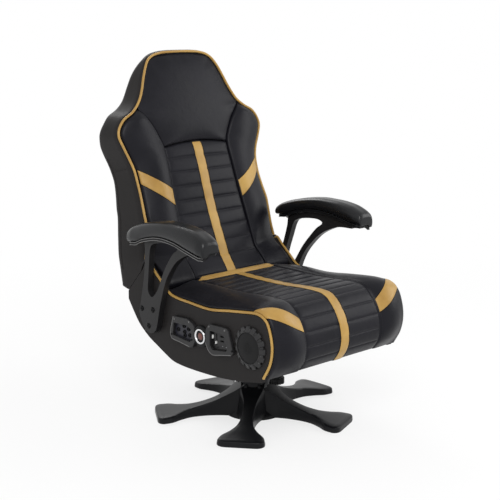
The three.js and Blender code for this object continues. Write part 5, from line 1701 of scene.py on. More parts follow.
@dataclass
class RearShell:
    """The upholstered shell behind the pads, cut off along the split and round the fold."""

    shop: Workshop
    form: BackForm
    slot: float = 4.4
    wall: float = 10.0
    corner: float = 26.0
    bulge: float = 10.0
    split_gap: float = 3.0
    horn: float = 78.6
    clear: float = 90.0
    side_welt: float = 1.3
    wing_welt: float = 1.2
    wing_seam: Pairs = ((371.0, 729.0), (283.0, 750.0))

    def _rings(self, inset: float, front: Curve, wall: float) -> np.ndarray:
        """Rings of the shell's outline by height, moved inwards.

        Args:
            inset: How far inwards.
            front: The front edge's depth by height.
            wall: How far the rear moves forwards.

        Returns:
            Rings of points.
        """
        f = self.form
        outline = f.inside(inset)
        path = SmoothPath([(outline[0][0], D.back_z(-0.07)), (outline[0][0], D.back_z(0.02)), *outline], 20)
        line = path.at(np.linspace(0, 1, 110))
        line[:, 1] = np.maximum.accumulate(line[:, 1] + np.arange(len(line)) * 1e-3)
        arc = np.linspace(0, np.pi / 2, 8)
        rings = []
        for half, z in line:
            start, rear = float(front(z)), float(f.rear_y(z)) - wall
            size = min(self.corner, half * 0.8, max(rear - start - 8, 4))
            lip = min(5.0, size / 3)
            right = [(half - lip, start), (half - lip * 0.3, start + lip * 0.3), (half, start + lip)]
            right += [(half, y) for y in np.linspace(start + lip, rear - size, 6)[1:-1]]
            right += [(half - size + size * math.cos(a), rear - size + size * math.sin(a)) for a in arc]
            flat = half - size
            right += [(flat * t, rear + self.bulge * (1 - t**2) ** 0.9) for t in (0.85, 0.68, 0.5, 0.3, 0.12)]
            left = [(-x, y) for x, y in right[::-1]]
            rings.append([(x, y, z) for x, y in [*right, *left]])
        return np.array(rings)

    def _cylinder(self, radius: float) -> Piece:
        """A long round bar about the fold axis.

        Args:
            radius: Its radius.

        Returns:
            The bar.
        """
        frame = Matrix(((0, 0, 1, 0), (1, 0, 0, D.fold_y), (0, 1, 0, D.fold_z), (0, 0, 0, 1)))
        reach = D.wing_half + 20
        profile = [(0.01, -reach), (radius, -reach), (radius, reach), (0.01, reach)]
        points, faces = lathe(profile, 96, frame)
        faces += [list(range(96))[::-1], [3 * 96 + k for k in range(96)]]
        return self.shop.object("bar", points, faces)

    def _below(self, offset: float) -> Piece:
        """A block below the split's line.

        Args:
            offset: How far its edge lies from the line.

        Returns:
            The block.
        """
        foot, top = (np.array(D.side(s)) for s in SPLIT)
        line = [foot + (top - foot) * 5, foot, foot + np.array([2, 0.4]) * D.body_depth]
        edge = shifted([tuple(p) for p in line], offset)
        outline = [*edge, (line[2][0] + 50, D.underside - 80), (line[0][0] - 50, D.underside - 80)]
        reach = D.wing_half + 20
        points = [(x, y, z) for x in (-reach, reach) for y, z in outline]
        n = len(outline)
        faces = [list(range(n)), list(range(2 * n - 1, n - 1, -1))]
        faces += [[k, k + n, (k + 1) % n + n, (k + 1) % n] for k in range(n)]
        return self.shop.object("block", np.array(points), faces)

    def build(self) -> None:
        """Lofts the shell, hollows it and cuts its lower edge."""
        f = self.form
        outer = self.shop.object("back_shell_cover", *loft(
            self._rings(-self.slot, lambda z: f.rim_y(z) + self.slot + 0.4, 0)))
        hollow = self.shop.object("hollow", *loft(
            self._rings(self.slot + 1.5, lambda z: f.rim_y(z) - 60, self.wall)))
        step = self.split_gap + self.wall
        self.shop.combined(hollow, [self._below(step), self._cylinder(self.horn + step)], "DIFFERENCE")
        self.shop.combined(outer, [hollow, self._below(self.split_gap), self._cylinder(self.horn + self.split_gap)],
                           "DIFFERENCE")
        self.shop.sharp(outer, 42)
        self.shop.dress(outer, "backrest", SIDE_LEATHER, ["back_rear_shell"])

    def seams(self) -> None:
        """Sewn welts down the shell's sides and across its back, as thin raised cords."""
        f = self.form
        outer_half = f.half_inside(-self.slot)
        for side, word in SIDES:
            z = np.linspace(D.back_z(0.52), D.back_z(0.02), 90)
            rear = np.array([float(f.rear_y(v)) for v in z])
            start = np.array([float(f.rim_y(v)) for v in z])
            y = np.minimum(start + (rear - start) * 0.80, rear - 24)
            x = side * np.array([float(outer_half(v)) for v in z])
            line = np.stack([x, y, z], axis=-1)
            keep = np.array([self._clear(p[1], p[2]) for p in line])
            made = self.shop.object(f"shell_side_welt_{word}", *tube(line[keep], self.side_welt, 8))
            self.shop.dress(made, "backrest", SIDE_LEATHER)
            t = np.linspace(0, 1, 40)
            z = mix(self.wing_seam[0][1], self.wing_seam[1][1], t)
            y = mix(self.wing_seam[0][0], self.wing_seam[1][0], t)
            line = np.stack([side * np.array([float(outer_half(v)) for v in z]), y, z], axis=-1)
            made = self.shop.object(f"shell_wing_welt_{word}", *tube(line, self.wing_welt, 8))
            self.shop.dress(made, "backrest", SIDE_LEATHER)

    def _clear(self, y: float, z: float) -> bool:
        """Whether a point of the side lies above the split and outside the horn's sweep.

        Args:
            y: The point's depth.
            z: Its height.

        Returns:
            True where it does.
        """
        foot, top = (np.array(D.side(s)) for s in SPLIT)
        along = (top - foot) / np.linalg.norm(top - foot)
        away = np.array([y, z]) - foot
        return along[0] * away[1] - along[1] * away[0] < -8 and (
            math.dist((y, z), (D.fold_y, D.fold_z)) > self.clear)


def plate(outline: Line, x0: float, x1: float) -> Form:
    """A flat plate between two X planes, from its outline in Y and Z.

    Args:
        outline: Its points.
        x0: The first plane.
        x1: The second plane.

    Returns:
        Its points and faces.
    """
    line = np.asarray(outline, float)
    n = len(line)
    points = np.vstack([np.column_stack([np.full(n, x), line]) for x in (x0, x1)])
    faces = [list(range(n)), list(range(n, 2 * n))]
    faces += [[k, (k + 1) % n, (k + 1) % n + n, k + n] for k in range(n)]
    return points, faces


def from_button(shares: Line) -> list[tuple[float, float]]:
    """Points beside the round button, in shares of a control module's length and height."""
    return [(D.button_y + 100.0 * y, D.button_z + 84.0 * z) for y, z in shares]


@dataclass
class SeatPanels:
    """The seat's two upholstered sides, each with a round horn up to the fold."""

    shop: Workshop
    edge_lift: float = 4.6
    edge_round: float = 4.0
    speaker_hole: float = 46.0
    button_hole: float = 16.3
    lower: Pairs = (
        (-0.843, 0.124), (-0.616, 0.051), (-0.336, 0), (0.147, 0), (0.256, 0.060), (0.357, 0.132),
        (0.459, 0.205), (0.536, 0.282), (0.603, 0.368), (0.680, 0.517), (0.736, 0.640))
    jack_hole: Pairs = (
        (0.22, -0.238), (0.42, -0.381), (1.22, -0.31), (1.18, 0.238), (0.52, 0.286), (0.22, 0.214))
    slider_hole: Pairs = (
        (-1.2, -0.214), (-0.52, -0.31), (-0.22, -0.238), (-0.22, 0.238), (-0.44, 0.357), (-1, 0.357))

    def outline(self) -> np.ndarray:
        """The panel's edge: the piped curve, the underside, the split and the horn.

        Returns:
            Points in Y and Z.
        """
        top = shifted(SmoothPath([D.side(s) for s in PIPED_EDGE]).at(np.linspace(0, 1, 110)), self.edge_lift)
        lower = SmoothPath([D.side(s) for s in self.lower]).at(np.linspace(0, 1, 90))
        axis = np.array([D.fold_y, D.fold_z])
        radius = float(np.linalg.norm(top[0] - axis))
        foot, high = (np.array(D.side(s)) for s in SPLIT)
        along = (high - foot) / np.linalg.norm(high - foot)
        toward = axis - foot
        reach = toward @ along
        start = foot + along * (reach - math.sqrt(radius**2 - (toward @ toward - reach**2)))
        first, last = (math.atan2(p[1] - axis[1], p[0] - axis[0]) for p in (start, top[0]))
        angles = np.linspace(first, last, 26)
        horn = axis + radius * np.stack([np.cos(angles), np.sin(angles)], axis=1)
        return np.vstack([top, lower, [foot], horn[:-1]])

    def build(self) -> None:
        """Makes both panels, with the openings that the speakers and the controls need."""
        inner, outer = D.panel_inner, D.seat_half
        for side, word in SIDES:
            panel = self.shop.object(f"side_panel_cover_{word}", *plate(self.outline(), side * inner, side * outer))
            reach = (side * (inner - 10), side * (outer + 10))
            tools = [self._round(self.speaker_hole, D.speaker_y, D.speaker_z, side)]
            if side < 0:
                tools += [self.shop.object("opening", *plate(from_button(hole), *reach))
                          for hole in (self.jack_hole, self.slider_hole)]
                tools.append(self._round(self.button_hole, D.button_y, D.button_z, side))
            self.shop.combined(panel, tools, "DIFFERENCE")
            self.shop.bevelled(panel, self.edge_round, 4, 40)
            self.shop.dress(panel, "seat_body", SIDE_LEATHER, [f"seat_side_panel_{word}"])

    def _round(self, radius: float, y: float, z: float, side: int) -> Piece:
        """A round tool through a panel.

        Args:
            radius: Its radius.
            y: Its depth.
            z: Its height.
            side: 1 on the right, -1 on the left.

        Returns:
            The tool.
        """
        depth = D.seat_half - D.panel_inner + 20
        profile = [(0, 0), (radius, 0), (radius, depth), (0, depth)]
        return self.shop.object("opening", *lathe(profile, 96, outward_x(side, D.panel_inner - 10, y, z)))


@dataclass
class Speakers:
    """A speaker in each side panel: a ridged, sloping bezel and a flat face, whose perforations are dark discs of
    painted shade.
    """

    shop: Workshop
    radius: float = 60.0
    depth: float = 12.0
    grille_radius: float = 43.0
    grille_foot: float = 9.6
    grille_depth: float = 12.0
    notches: int = 15
    notch_depth: float = 6.5
    notch_share: float = 0.36
    hole_count: int = 620
    hole_size: float = 0.55

    def _notched(self, angle: float, radius: float) -> float:
        """The bezel's radius at an angle, with a square notch between ridges.

        Args:
            angle: A place round the bezel.
            radius: The plain radius.

        Returns:
            The radius there.
        """
        if radius < self.grille_radius + 4:
            return radius
        pitch = 2 * math.pi / self.notches
        away = abs((angle + pitch / 2) % pitch - pitch / 2) / pitch
        cut = float(ease((self.notch_share / 2 + 0.05 - away) / 0.09))
        return radius - cut * min(self.notch_depth, radius - self.grille_radius - 2.6)

    def build(self) -> None:
        """Makes the bezel, the face and its holes, as dark discs of painted shade, on both sides."""
        for side, word in SIDES:
            frame = outward_x(side, D.face, D.speaker_y, D.speaker_z)
            inner = self.grille_radius + 0.3
            profile = [(inner, 0), (self.radius - 0.8, 0), (self.radius, 0.8), (self.radius, 4.4),
                       (self.radius - 1.2, 5.8), (self.radius - 4.6, 7.4), (inner + 7.0, 10.0),
                       (inner + 4.6, 11.2), (inner + 2.2, self.depth), (inner + 1.0, self.depth),
                       (inner, self.depth - 1.2), (inner, 0)]
            bezel = self.shop.object(f"speaker_rim_{word}", *lathe(profile, 360, frame, self._notched))
            self.shop.sharp(bezel, 32)
            self.shop.dress(bezel, "seat_body", EDGE_PLASTIC, [f"speaker_bezel_{word}"])
            dome = [(0, 0)] + [(self.grille_radius, 0)] + [
                (self.grille_radius * math.cos(a), mix(self.grille_foot, self.grille_depth, math.sin(a)))
                for a in np.linspace(0, math.pi / 2, 16)]
            face = self.shop.object(f"speaker_face_{word}", *lathe(dome, 96, frame))
            self.shop.sharp(face, 50)
            self.shop.dress(face, "seat_body", PLASTIC, [f"speaker_grille_{word}"])
            # Painted shade: the perforations are thin near-black discs on the face, not holes.
            base = Workshop(0.0).object("perforations", np.zeros((1, 3)), [])
            holes = grown(self.shop, f"speaker_perforations_{word}", base, perforation_graph(PAINTED_HOLE_SHADE.material()), {
                "Count": self.hole_count, "Reach": 0.92 * self.grille_radius * MM, "Hole": self.hole_size * MM,
                "Rise": (self.grille_depth - self.grille_foot) * MM})
            place = Matrix.Translation(Vector(self.shop.shift)) @ Matrix.Diagonal((MM, MM, MM, 1)) @ (
                outward_x(side, D.face + self.grille_foot + 0.02, D.speaker_y, D.speaker_z)) @ (
                Matrix.Diagonal((1 / MM, 1 / MM, 1 / MM, 1)))
            holes.data.transform(place)
            if side < 0:
                holes.data.flip_normals()
            self.shop.dress(holes, "seat_body", PAINTED_HOLE_SHADE)


def screw_heads(shop: Workshop, name: str, places: Line, direction: tuple[float, float, float],
                size: float) -> Piece:
    """Round screw heads with a crossed recess, one on each place.

    Args:
        shop: The workshop.
        name: The piece's name.
        places: Where the heads sit.
        direction: Where they face.
        size: A head's radius.

    Returns:
        The piece, not yet dressed.
    """
    profile = [(0, 0.35), (0.30, 0.35), (0.42, 0.72), (0.72, 0.62), (0.92, 0.36), (1.0, 0.0), (1.0, -0.25), (0, -0.25)]

    def crossed(angle: float, radius: float) -> float:
        """The recess's four arms."""
        return radius * (1 + 0.45 * math.cos(4 * angle)) if radius < 0.5 else radius

    template = Workshop(0.0).object("screw_head", *lathe([(r * size, h * size) for r, h in profile], 24,
                                                         Matrix.Identity(4), crossed))
    base = shop.object(name, np.array(places, float), [], outward=False)
    made = grown(shop, name, base, screw_graph(PAINTED.material(), template), {"Direction": direction})
    bpy.data.objects.remove(template)
    return made


@dataclass
class SoundControls:
    """The control modules on the left panel: jacks, a round button, and sliders with switches."""

    shop: Workshop
    depth: float = 10.0
    chamfer: float = 2.6
    highlight_radius: float = 1.6
    thumb_reach: tuple[float, float] = (5.6, 3.6)
    ring_inner: float = 16.3
    ring_outer: float = 22.3
    hub_outer: float = 31.3
    lens_radius: float = 10.1
    screw_radius: float = 3.2
    jack_frame: Pairs = (
        (1.18, 0.44), (0.56, 0.488), (0.34, 0.393), (0.24, 0.286), (0.22, -0.238), (0.32, -0.464),
        (0.44, -0.5), (1.29, -0.381), (1.33, -0.143))
    jack_window: Pairs = (
        (1.17, 0.202), (0.58, 0.238), (0.39, 0.143), (0.36, -0.167), (0.44, -0.31), (1.22, -0.238))
    slider_frame: Pairs = (
        (-0.26, 0.333), (-0.41, 0.548), (-1.13, 0.571), (-1.22, 0.476), (-1.42, -0.214), (-1.34, -0.31),
        (-0.54, -0.5), (-0.38, -0.405), (-0.24, -0.167))
    slider_window: Pairs = (
        (-0.44, 0.31), (-0.94, 0.333), (-1.03, 0.262), (-1.17, -0.143), (-1.11, -0.226), (-0.55, -0.31),
        (-0.44, -0.214))
    # Lines along the modules' edges, in shares, where pale tubes stand as painted highlight.
    jack_highlight: Pairs = (
        (1.185, 0.41), (1.255, 0.145), (1.315, -0.143), (1.30, -0.29), (1.26, -0.363), (0.87, -0.42), (0.46, -0.478))
    slider_highlight: Pairs = (
        (-0.262, -0.15), (-0.32, -0.28), (-0.39, -0.388), (-0.46, -0.44), (-0.56, -0.478), (-0.95, -0.39),
        (-1.32, -0.297))
    dots: Pairs = ((-160, 299), (-175, 299))
    jacks: Pairs = (
        (1.06, -0.03), (0.8, 0.15), (0.78, -0.05), (0.6, 0.09), (0.76, -0.17), (0.55, -0.12))
    knobs: Pairs = ((-0.49, 0.119), (-0.63, -0.048), (-0.86, 0.19), (-0.86, 0.036))
    screws: Pairs = (
        (-113, 348), (-180, 351), (-209, 298), (-131, 289), (41, 339), (-25, 343), (54, 291), (-37, 293))

    def _outward(self, name: str, outline: Line, inner: float, outer: float) -> Piece:
        """A plate on the left panel between two distances from its face."""
        return self.shop.object(name, *plate(from_button(outline), -D.face - outer, -D.face - inner))

    def _turned(self, name: str, profile: Line, y: float, z: float, sides: int = 96) -> Piece:
        """A turned piece that faces out of the left panel."""
        return self.shop.object(name, *lathe(profile, sides, outward_x(-1, D.face, y, z)))

    def build(self) -> None:
        """Makes the modules, their plates and everything that moves on them."""
        for name, frame, window in (("jack_module", self.jack_frame, self.jack_window),
                                    ("slider_module", self.slider_frame, self.slider_window)):
            made = self._outward(name, frame, 0, self.depth)
            self.shop.combined(made, [self._outward("window", window, -8, self.depth + 8), self._turned(
                "clearance", [(0, -8), (self.ring_outer + 1.2, -8), (self.ring_outer + 1.2, 20), (0, 20)],
                D.button_y, D.button_z)], "DIFFERENCE")
            self.shop.bevelled(made, self.chamfer, 2, 28)
            nodes = ["control_housing"] if name == "jack_module" else []
            self.shop.dress(made, "seat_body", EDGE_PLASTIC, nodes)
        self._button()
        self._jack_panel()
        self._slider_panel()
        # One kind of screw in two finishes: the upper heads are pale, a painted highlight where light catches them,
        # and the lower heads near-black, painted shade.
        for name, upper, finish in (("module_screws_upper", True, PALE_HIGHLIGHT), ("module_screws_lower", False, BOLT)):
            places = [(-D.face - self.depth + 0.5, y, z) for y, z in self.screws if (z > D.button_z) is upper]
            heads = screw_heads(self.shop, name, places, (-1.0, 0.0, 0.0), self.screw_radius)
            self.shop.dress(heads, "seat_body", finish)
        # Painted highlight: pale tubes along parts of the modules' edges stand for the light that their chamfers
        # catch.
        for name, outline in (("jack_module_edge", self.jack_highlight), ("slider_module_edge", self.slider_highlight)):
            path = SmoothPath([(-D.face - self.depth + 0.9, *p) for p in from_button(outline)], 24)
            made = self.shop.object(name, *tube(path.at(np.linspace(0, 1, 120)), self.highlight_radius, 8))
            self.shop.dress(made, "seat_body", PALE_HIGHLIGHT)

    def _button(self) -> None:
        """The round button in its chrome ring, with a red lens in its middle."""
        hub = [(self.ring_outer + 0.2, 0), (self.hub_outer, 0), (self.hub_outer, 5.2), (self.hub_outer - 1.6, 7.6),
               (self.hub_outer - 3.4, 8.4), (self.ring_outer + 1.4, 8.8), (self.ring_outer + 0.2, 7.8),
               (self.ring_outer + 0.2, 0)]
        collar = self._turned("button_collar", hub, D.button_y, D.button_z)
        self.shop.sharp(collar, 40)
        self.shop.dress(collar, "seat_body", PLASTIC)
        ring = [(self.ring_inner, 0), (self.ring_outer, 0), (self.ring_outer, 8.6), (self.ring_outer - 0.6, 10.2),
                (self.ring_outer - 1.9, 11.0), (self.ring_inner + 2.0, 10.8), (self.ring_inner + 0.8, 9.8),
                (self.ring_inner, 8.0), (self.ring_inner, 0)]
        bright = self._turned("button_bright_ring", ring, D.button_y, D.button_z)
        self.shop.sharp(bright, 40)
        self.shop.dress(bright, "seat_body", CHROME, ["button_ring"])
        crown = [(0, -6.0), (15.6, -6.0), (15.6, 6.4), (15.2, 7.2), (14.2, 7.6), (10.6, 7.8), (10.2, 7.4),
                 (10.2, 5.0), (0, 5.0)]
        button = self._turned("power_button_cap", crown, D.button_y, D.button_z)
        self.shop.sharp(button, 50)
        self.shop.dress(button, "power_button", PLASTIC, ["power_button"])
        lens = self.lens_radius
        dome = [(0, 5.05), (lens, 5.05), (lens, 7.0)] + [
            (lens * math.cos(a), 7.0 + 1.8 * math.sin(a)) for a in np.linspace(0.08, math.pi / 2, 12)]
        made = self._turned("power_button_lens", dome, D.button_y, D.button_z)
        self.shop.dress(self.shop.sharp(made, 50), "power_button", RED)

    def _jack_panel(self) -> None:
        """The recessed plate with its ringed jacks, each with a near-black disc of painted shade in its hole."""
        base = self._outward("jack_panel", (
            (1.20, 0.20), (0.54, 0.26), (0.28, 0.17), (0.28, -0.20), (0.43, -0.345), (1.21, -0.275)), -3.3, -0.3)
        self.shop.sharp(base, 30)
        self.shop.dress(base, "seat_body", JACK_PLASTIC, ["jack_plate"])
        ring = [(3.0, -2.4), (5.9, -2.4), (6.0, 1.6), (5.3, 2.7), (4.2, 3.0), (3.3, 2.6), (3.0, 1.8), (3.0, -2.4)]
        hole_shade_disc = [(0, -2.3), (2.9, -2.3), (2.9, -2.0), (0, -2.0)]
        collar = join_into([self._turned("collar", ring, y, z, 32) for y, z in from_button(self.jacks)])
        collar.name = "jack_collars"
        self.shop.dress(self.shop.sharp(collar, 45), "seat_body", BOLT)
        # Painted shade: a thin near-black disc inside each collar stands for the shade down the jack's hole.
        hole = join_into([self._turned("hole", hole_shade_disc, y, z, 24) for y, z in from_button(self.jacks)])
        hole.name = "jack_holes"
        self.shop.dress(hole, "seat_body", PAINTED_HOLE_SHADE)

    def _slider_panel(self) -> None:
        """The recessed plate with two sliders, two switches and indicator dots."""
        base = self._outward("slider_panel", (
            (-0.28, 0.22), (-0.42, 0.34), (-0.99, 0.35), (-1.19, -0.18), (-0.54, -0.31), (-0.28, -0.22)), -3.3, -0.3)
        knobs = from_button(self.knobs)
        foot, top = from_button([(0, -0.155), (0, 0.25)])
        slots = [self._box(-4, 4, y - 2, y + 2, foot[1], top[1]) for y, _ in knobs[:2]]
        slots += [self._box(-4, 4, y - 7, y + 7, z - 2, z + 2) for y, z in knobs[2:]]
        self.shop.combined(base, slots, "DIFFERENCE")
        self.shop.dress(self.shop.sharp(base, 30), "seat_body", EDGE_PLASTIC, ["slider_plate"])
        for name, (y, z), reach in zip(("volume_slider", "bass_slider"), knobs[:2], self.thumb_reach):
            thumb = self._box(-5.2, 3.2, y - 1.5, y + 1.5, z - 3.3, z + 3.3)
            cap = self._box(0.4, 4.2, y - 1.2, y + 1.2, z - reach, z + reach)
            self.shop.combined(thumb, [cap], "UNION")
            thumb.name = f"{name}_thumb"
            self.shop.dress(self.shop.bevelled(thumb, 0.8, 3), name, WHITE, [name])
        for name, (y, z) in zip(("mode_switch_upper", "mode_switch_lower"), knobs[2:]):
            thumb = self._box(-5.2, 3.0, y - 0.2, y + 6.6, z - 1.7, z + 1.7)
            thumb.name = f"{name}_thumb"
            self.shop.dress(self.shop.bevelled(thumb, 0.6, 3), name, BOLT, [name])
        dot = join_into([self._turned("dot", [(0, -0.6), (1.6, -0.6), (1.6, 0.1), (1.1, 0.5), (0, 0.6)], y, z, 20)
                         for y, z in self.dots])
        dot.name = "slider_panel_dots"
        self.shop.dress(self.shop.sharp(dot, 50), "seat_body", STEEL)

    def _box(self, inner: float, outer: float, y0: float, y1: float, z0: float, z1: float) -> Piece:
        """A block on the left panel between two distances from its face."""
        outline = [(y0, z0), (y1, z0), (y1, z1), (y0, z1)]
        return self.shop.object("block", *plate(outline, -D.face - outer, -D.face - inner))


@dataclass
class Armrests:
    """Two armrests: a bent support with a window, bolted on, a base strip and a moulded pad."""

    shop: Workshop
    length: float = 412.0
    rise: float = 356.0
    front_y: float = -190.0
    foot_z: float = 276.0
    thickness: float = 20.0
    lean: float = 14.0
    lean_from: float = 0.35
    lean_to: float = 0.85
    edge_round: float = 5.0
    strip_half: float = 32.0
    strip_thickness: float = 9.0
    hang: float = 9.0
    strip_reach: tuple[float, float] = (0.078, 0.905)
    bead_radius: float = 1.15
    pad_half: float = 34.0
    pad_offsets: tuple[float, float] = (45.0, 31.0)
    pad_reach: tuple[float, float] = (0.058, 0.939)
    end_round: float = 7.0
    bolt_radius: float = 7.0
    top: Pairs = (
        (0.816, 0.787), (0.750, 0.820), (0.612, 0.860), (0.5, 0.871), (0.369, 0.860), (0.252, 0.831),
        (0.133, 0.803))
    under: Pairs = (
        (0.136, 0.786), (0.267, 0.778), (0.364, 0.742), (0.461, 0.680), (0.534, 0.601), (0.602, 0.503),
        (0.646, 0.404), (0.680, 0.292), (0.704, 0.194), (0.724, 0.101), (0.748, 0.034), (0.801, 0),
        (0.862, 0.014), (0.908, 0.081), (0.937, 0.163), (0.927, 0.194), (0.888, 0.376), (0.842, 0.573),
        (0.818, 0.713))
    window: Pairs = (
        (0.728, 0.770), (0.607, 0.806), (0.473, 0.809), (0.442, 0.787), (0.5, 0.733), (0.568, 0.646),
        (0.631, 0.551), (0.680, 0.455), (0.733, 0.362), (0.786, 0.315), (0.825, 0.354), (0.816, 0.461),
        (0.786, 0.601), (0.752, 0.736))
    crown: Pairs = (
        (.058, .902), (.08, .926), (.12, .950), (.18, .975), (.282, .994), (.388, 1), (.495, 1), (.641, .980),
        (.777, .947), (.862, .915), (.90, .895), (.939, .862))
    section: Pairs = (
        (-.84, 0), (.84, 0), (.99, .2), (1, .52), (.84, .84), (.5, .985), (0, 1), (-.5, .985), (-.84, .84),
        (-1, .52), (-.99, .2))
    bolts: Pairs = ((0.9008, 0.1939), (0.7743, 0.2077), (0.8252, 0.0592))

    def place(self, share: Sequence[float]) -> tuple[float, float]:
        """A point of the armrest's side from its shares of length and rise."""
        return self.front_y + share[0] * self.length, self.foot_z + share[1] * self.rise

    def build(self) -> None:
        """Makes both armrests."""
        for side, word in SIDES:
            self._support(side, word)
            self._strip(side, word)
            self._pad(side, word)
            places = [(side * (D.face + self.thickness - 1.2), *self.place(s)) for s in self.bolts]
            heads = screw_heads(self.shop, f"arm_screws_{word}", places, (float(side), 0.0, 0.0), self.bolt_radius)
            self.shop.dress(heads, "seat_body", BOLT, [f"arm_bolt_{word}_{k}" for k in (1, 2, 3)])

    def _support(self, side: int, word: str) -> None:
        """The bent support, leaning outwards as it rises, with recesses round its screws.

        Args:
            side: 1 on the right, -1 on the left.
            word: The side's name.
        """
        top = SmoothPath([self.place(s) for s in self.top]).at(np.linspace(0, 1, 60))
        under = SmoothPath([self.place(s) for s in self.under]).at(np.linspace(0, 1, 130))
        window = SmoothPath([self.place(s) for s in self.window], closed=True).at(np.linspace(0, 1, 100)[:-1])
        x0, x1 = D.face, D.face + self.thickness
        made = self.shop.object(f"arm_support_shell_{word}", *plate(np.vstack([top, under]), x0, x1))
        tools = [self.shop.object("window", *plate(window, x0 - 10, x1 + 10))]
        for share in self.bolts:
            y, z = self.place(share)
            tools.append(self.shop.object("recess", *lathe(
                [(0, -2.4), (8.2, -2.4), (9.6, 4), (0, 4)], 40, outward_x(1, x1, y, z))))
        self.shop.combined(made, tools, "DIFFERENCE")
        low, high = (self.foot_z + s * self.rise for s in (self.lean_from, self.lean_to))
        with edited(made.data) as shape:
            for z in np.linspace(low, high, 15):
                bmesh.ops.bisect_plane(shape, geom=[*shape.verts, *shape.edges, *shape.faces], dist=1e-7,
                                       plane_co=(0, 0, z * MM), plane_no=(0, 0, 1))
            for v in shape.verts:
                v.co.x += self.lean * MM * float(ease((v.co.z / MM - low) / (high - low)))
                v.co.x *= side
            bmesh.ops.recalc_face_normals(shape, faces=shape.faces)
        self.shop.bevelled(made, self.edge_round, 3, 40)
        self.shop.dress(made, "seat_body", SUPPORT, [f"arm_support_{word}"])

    def _arch(self, y: np.ndarray) -> np.ndarray:
        """The height of the pad's underside along its length."""
        line = [(0.058, 0.784), (0.095, 0.7955), *self.top[::-1], (0.862, 0.780), (0.90, 0.773), (0.939, 0.770)]
        return smooth_through([self.place(s) for s in line])(y)

    def _centre(self, side: int, share: float) -> float:
        """The pad's middle at a share of the armrest's length: its rear lies closer to the seat."""
        t = (share - self.pad_reach[0]) / (self.pad_reach[1] - self.pad_reach[0])
        return side * (D.face + mix(self.pad_offsets[0], self.pad_offsets[1], t))

    def _hung(self, side: int, across: float) -> float:
        """How far the outer side hangs past the support, at a share across."""
        return self.hang * float(ease((side * across - 0.18) / 0.5))

    def _strip(self, side: int, word: str) -> None:
        """The base strip under the pad, with two beads along its outer edge, whose pale colour is a painted highlight.

        Args:
            side: 1 on the right, -1 on the left.
            word: The side's name.
        """
        first, last = self.strip_reach
        across = np.linspace(-0.9, 0.9, 13)
        profile = [(-1, .06), (-.98, 0), *[(a, 0) for a in across], (.98, 0), (1, .06), (1, .30), (.96, .36),
                   (.96, .64), (1, .70), (1, .94), (.98, 1), *[(a, 1) for a in across[::-1]], (-.98, 1), (-1, .94),
                   (-1, .70), (-.96, .64), (-.96, .36), (-1, .30)]
        rings, beads = [], [[], []]
        for share in np.linspace(first, last, 90):
            y = self.place((share, 0))[0]
            centre = self._centre(side, share)
            end = min(share - first, last - share) * self.length
            width = self.strip_half * math.sqrt(max(1 - max(1 - end / 9, 0) ** 2, 0.5))
            foot = float(self._arch(y)) + 0.8
            rings.append([(centre + p * width, y, foot - self._hung(side, p) + q * self.strip_thickness)
                          for p, q in profile])
            for bead, (p, q) in zip(beads, ((side, .12), (side, .88))):
                bead.append((centre + p * width, y, foot - self._hung(side, p) + q * self.strip_thickness))
        made = self.shop.object(f"arm_pad_strip_{word}", *loft(np.array(rings)))
        self.shop.dress(self.shop.sharp(made, 35), "seat_body", SATIN, [f"arm_pad_base_{word}"])
        # The beads' shape is real; their pale finish is a painted highlight along their glossy edges.
        cord = join_into([self.shop.object("bead", *tube(np.array(bead), self.bead_radius, 8)) for bead in beads])
        cord.name = f"arm_pad_beads_{word}"
        self.shop.dress(cord, "seat_body", PALE_HIGHLIGHT)

    def _pad(self, side: int, word: str) -> None:
        """The moulded pad, crowned along and across, with blunt round ends.

        Args:
            side: 1 on the right, -1 on the left.
            word: The side's name.
        """
        crown = smooth_through(self.crown)
        outline = SmoothPath(self.section, closed=True).at(np.linspace(0, 1, 80, endpoint=False))
        outline[:, 1] = np.clip(outline[:, 1], 0, None)
        bend = self.end_round * (1 - np.cos(np.linspace(0, np.pi / 2, 9)))
        reach = (self.pad_reach[1] - self.pad_reach[0]) * self.length
        places = np.concatenate([bend[:-1], np.linspace(self.end_round, reach - self.end_round, 90),
                                 reach - bend[-2::-1]])
        rings = []
        for place in places:
            share = self.pad_reach[0] + place / self.length
            y = self.place((share, 0))[0]
            centre = self._centre(side, share)
            foot = float(self._arch(y)) + self.strip_thickness + 1.6
            top = self.place((0, float(crown(share))))[1]
            near = min(place, reach - place)
            inset = self.end_round * float(drawn_in(near / self.end_round))
            half = self.pad_half * mix(0.90, 1, float(ease(near / 30))) - inset
            rings.append([(centre + p * half, y, mix(foot - self._hung(side, p) + 0.6 * inset, top - 0.8 * inset, q))
                          for p, q in outline])
        made = self.shop.object(f"arm_pad_cushion_{word}", *loft(np.array(rings)))
        self.shop.sharp(made, 60)
        self.shop.dress(made, "seat_body", ARM_SKIN, [f"arm_pad_{word}"], fill=1.0)


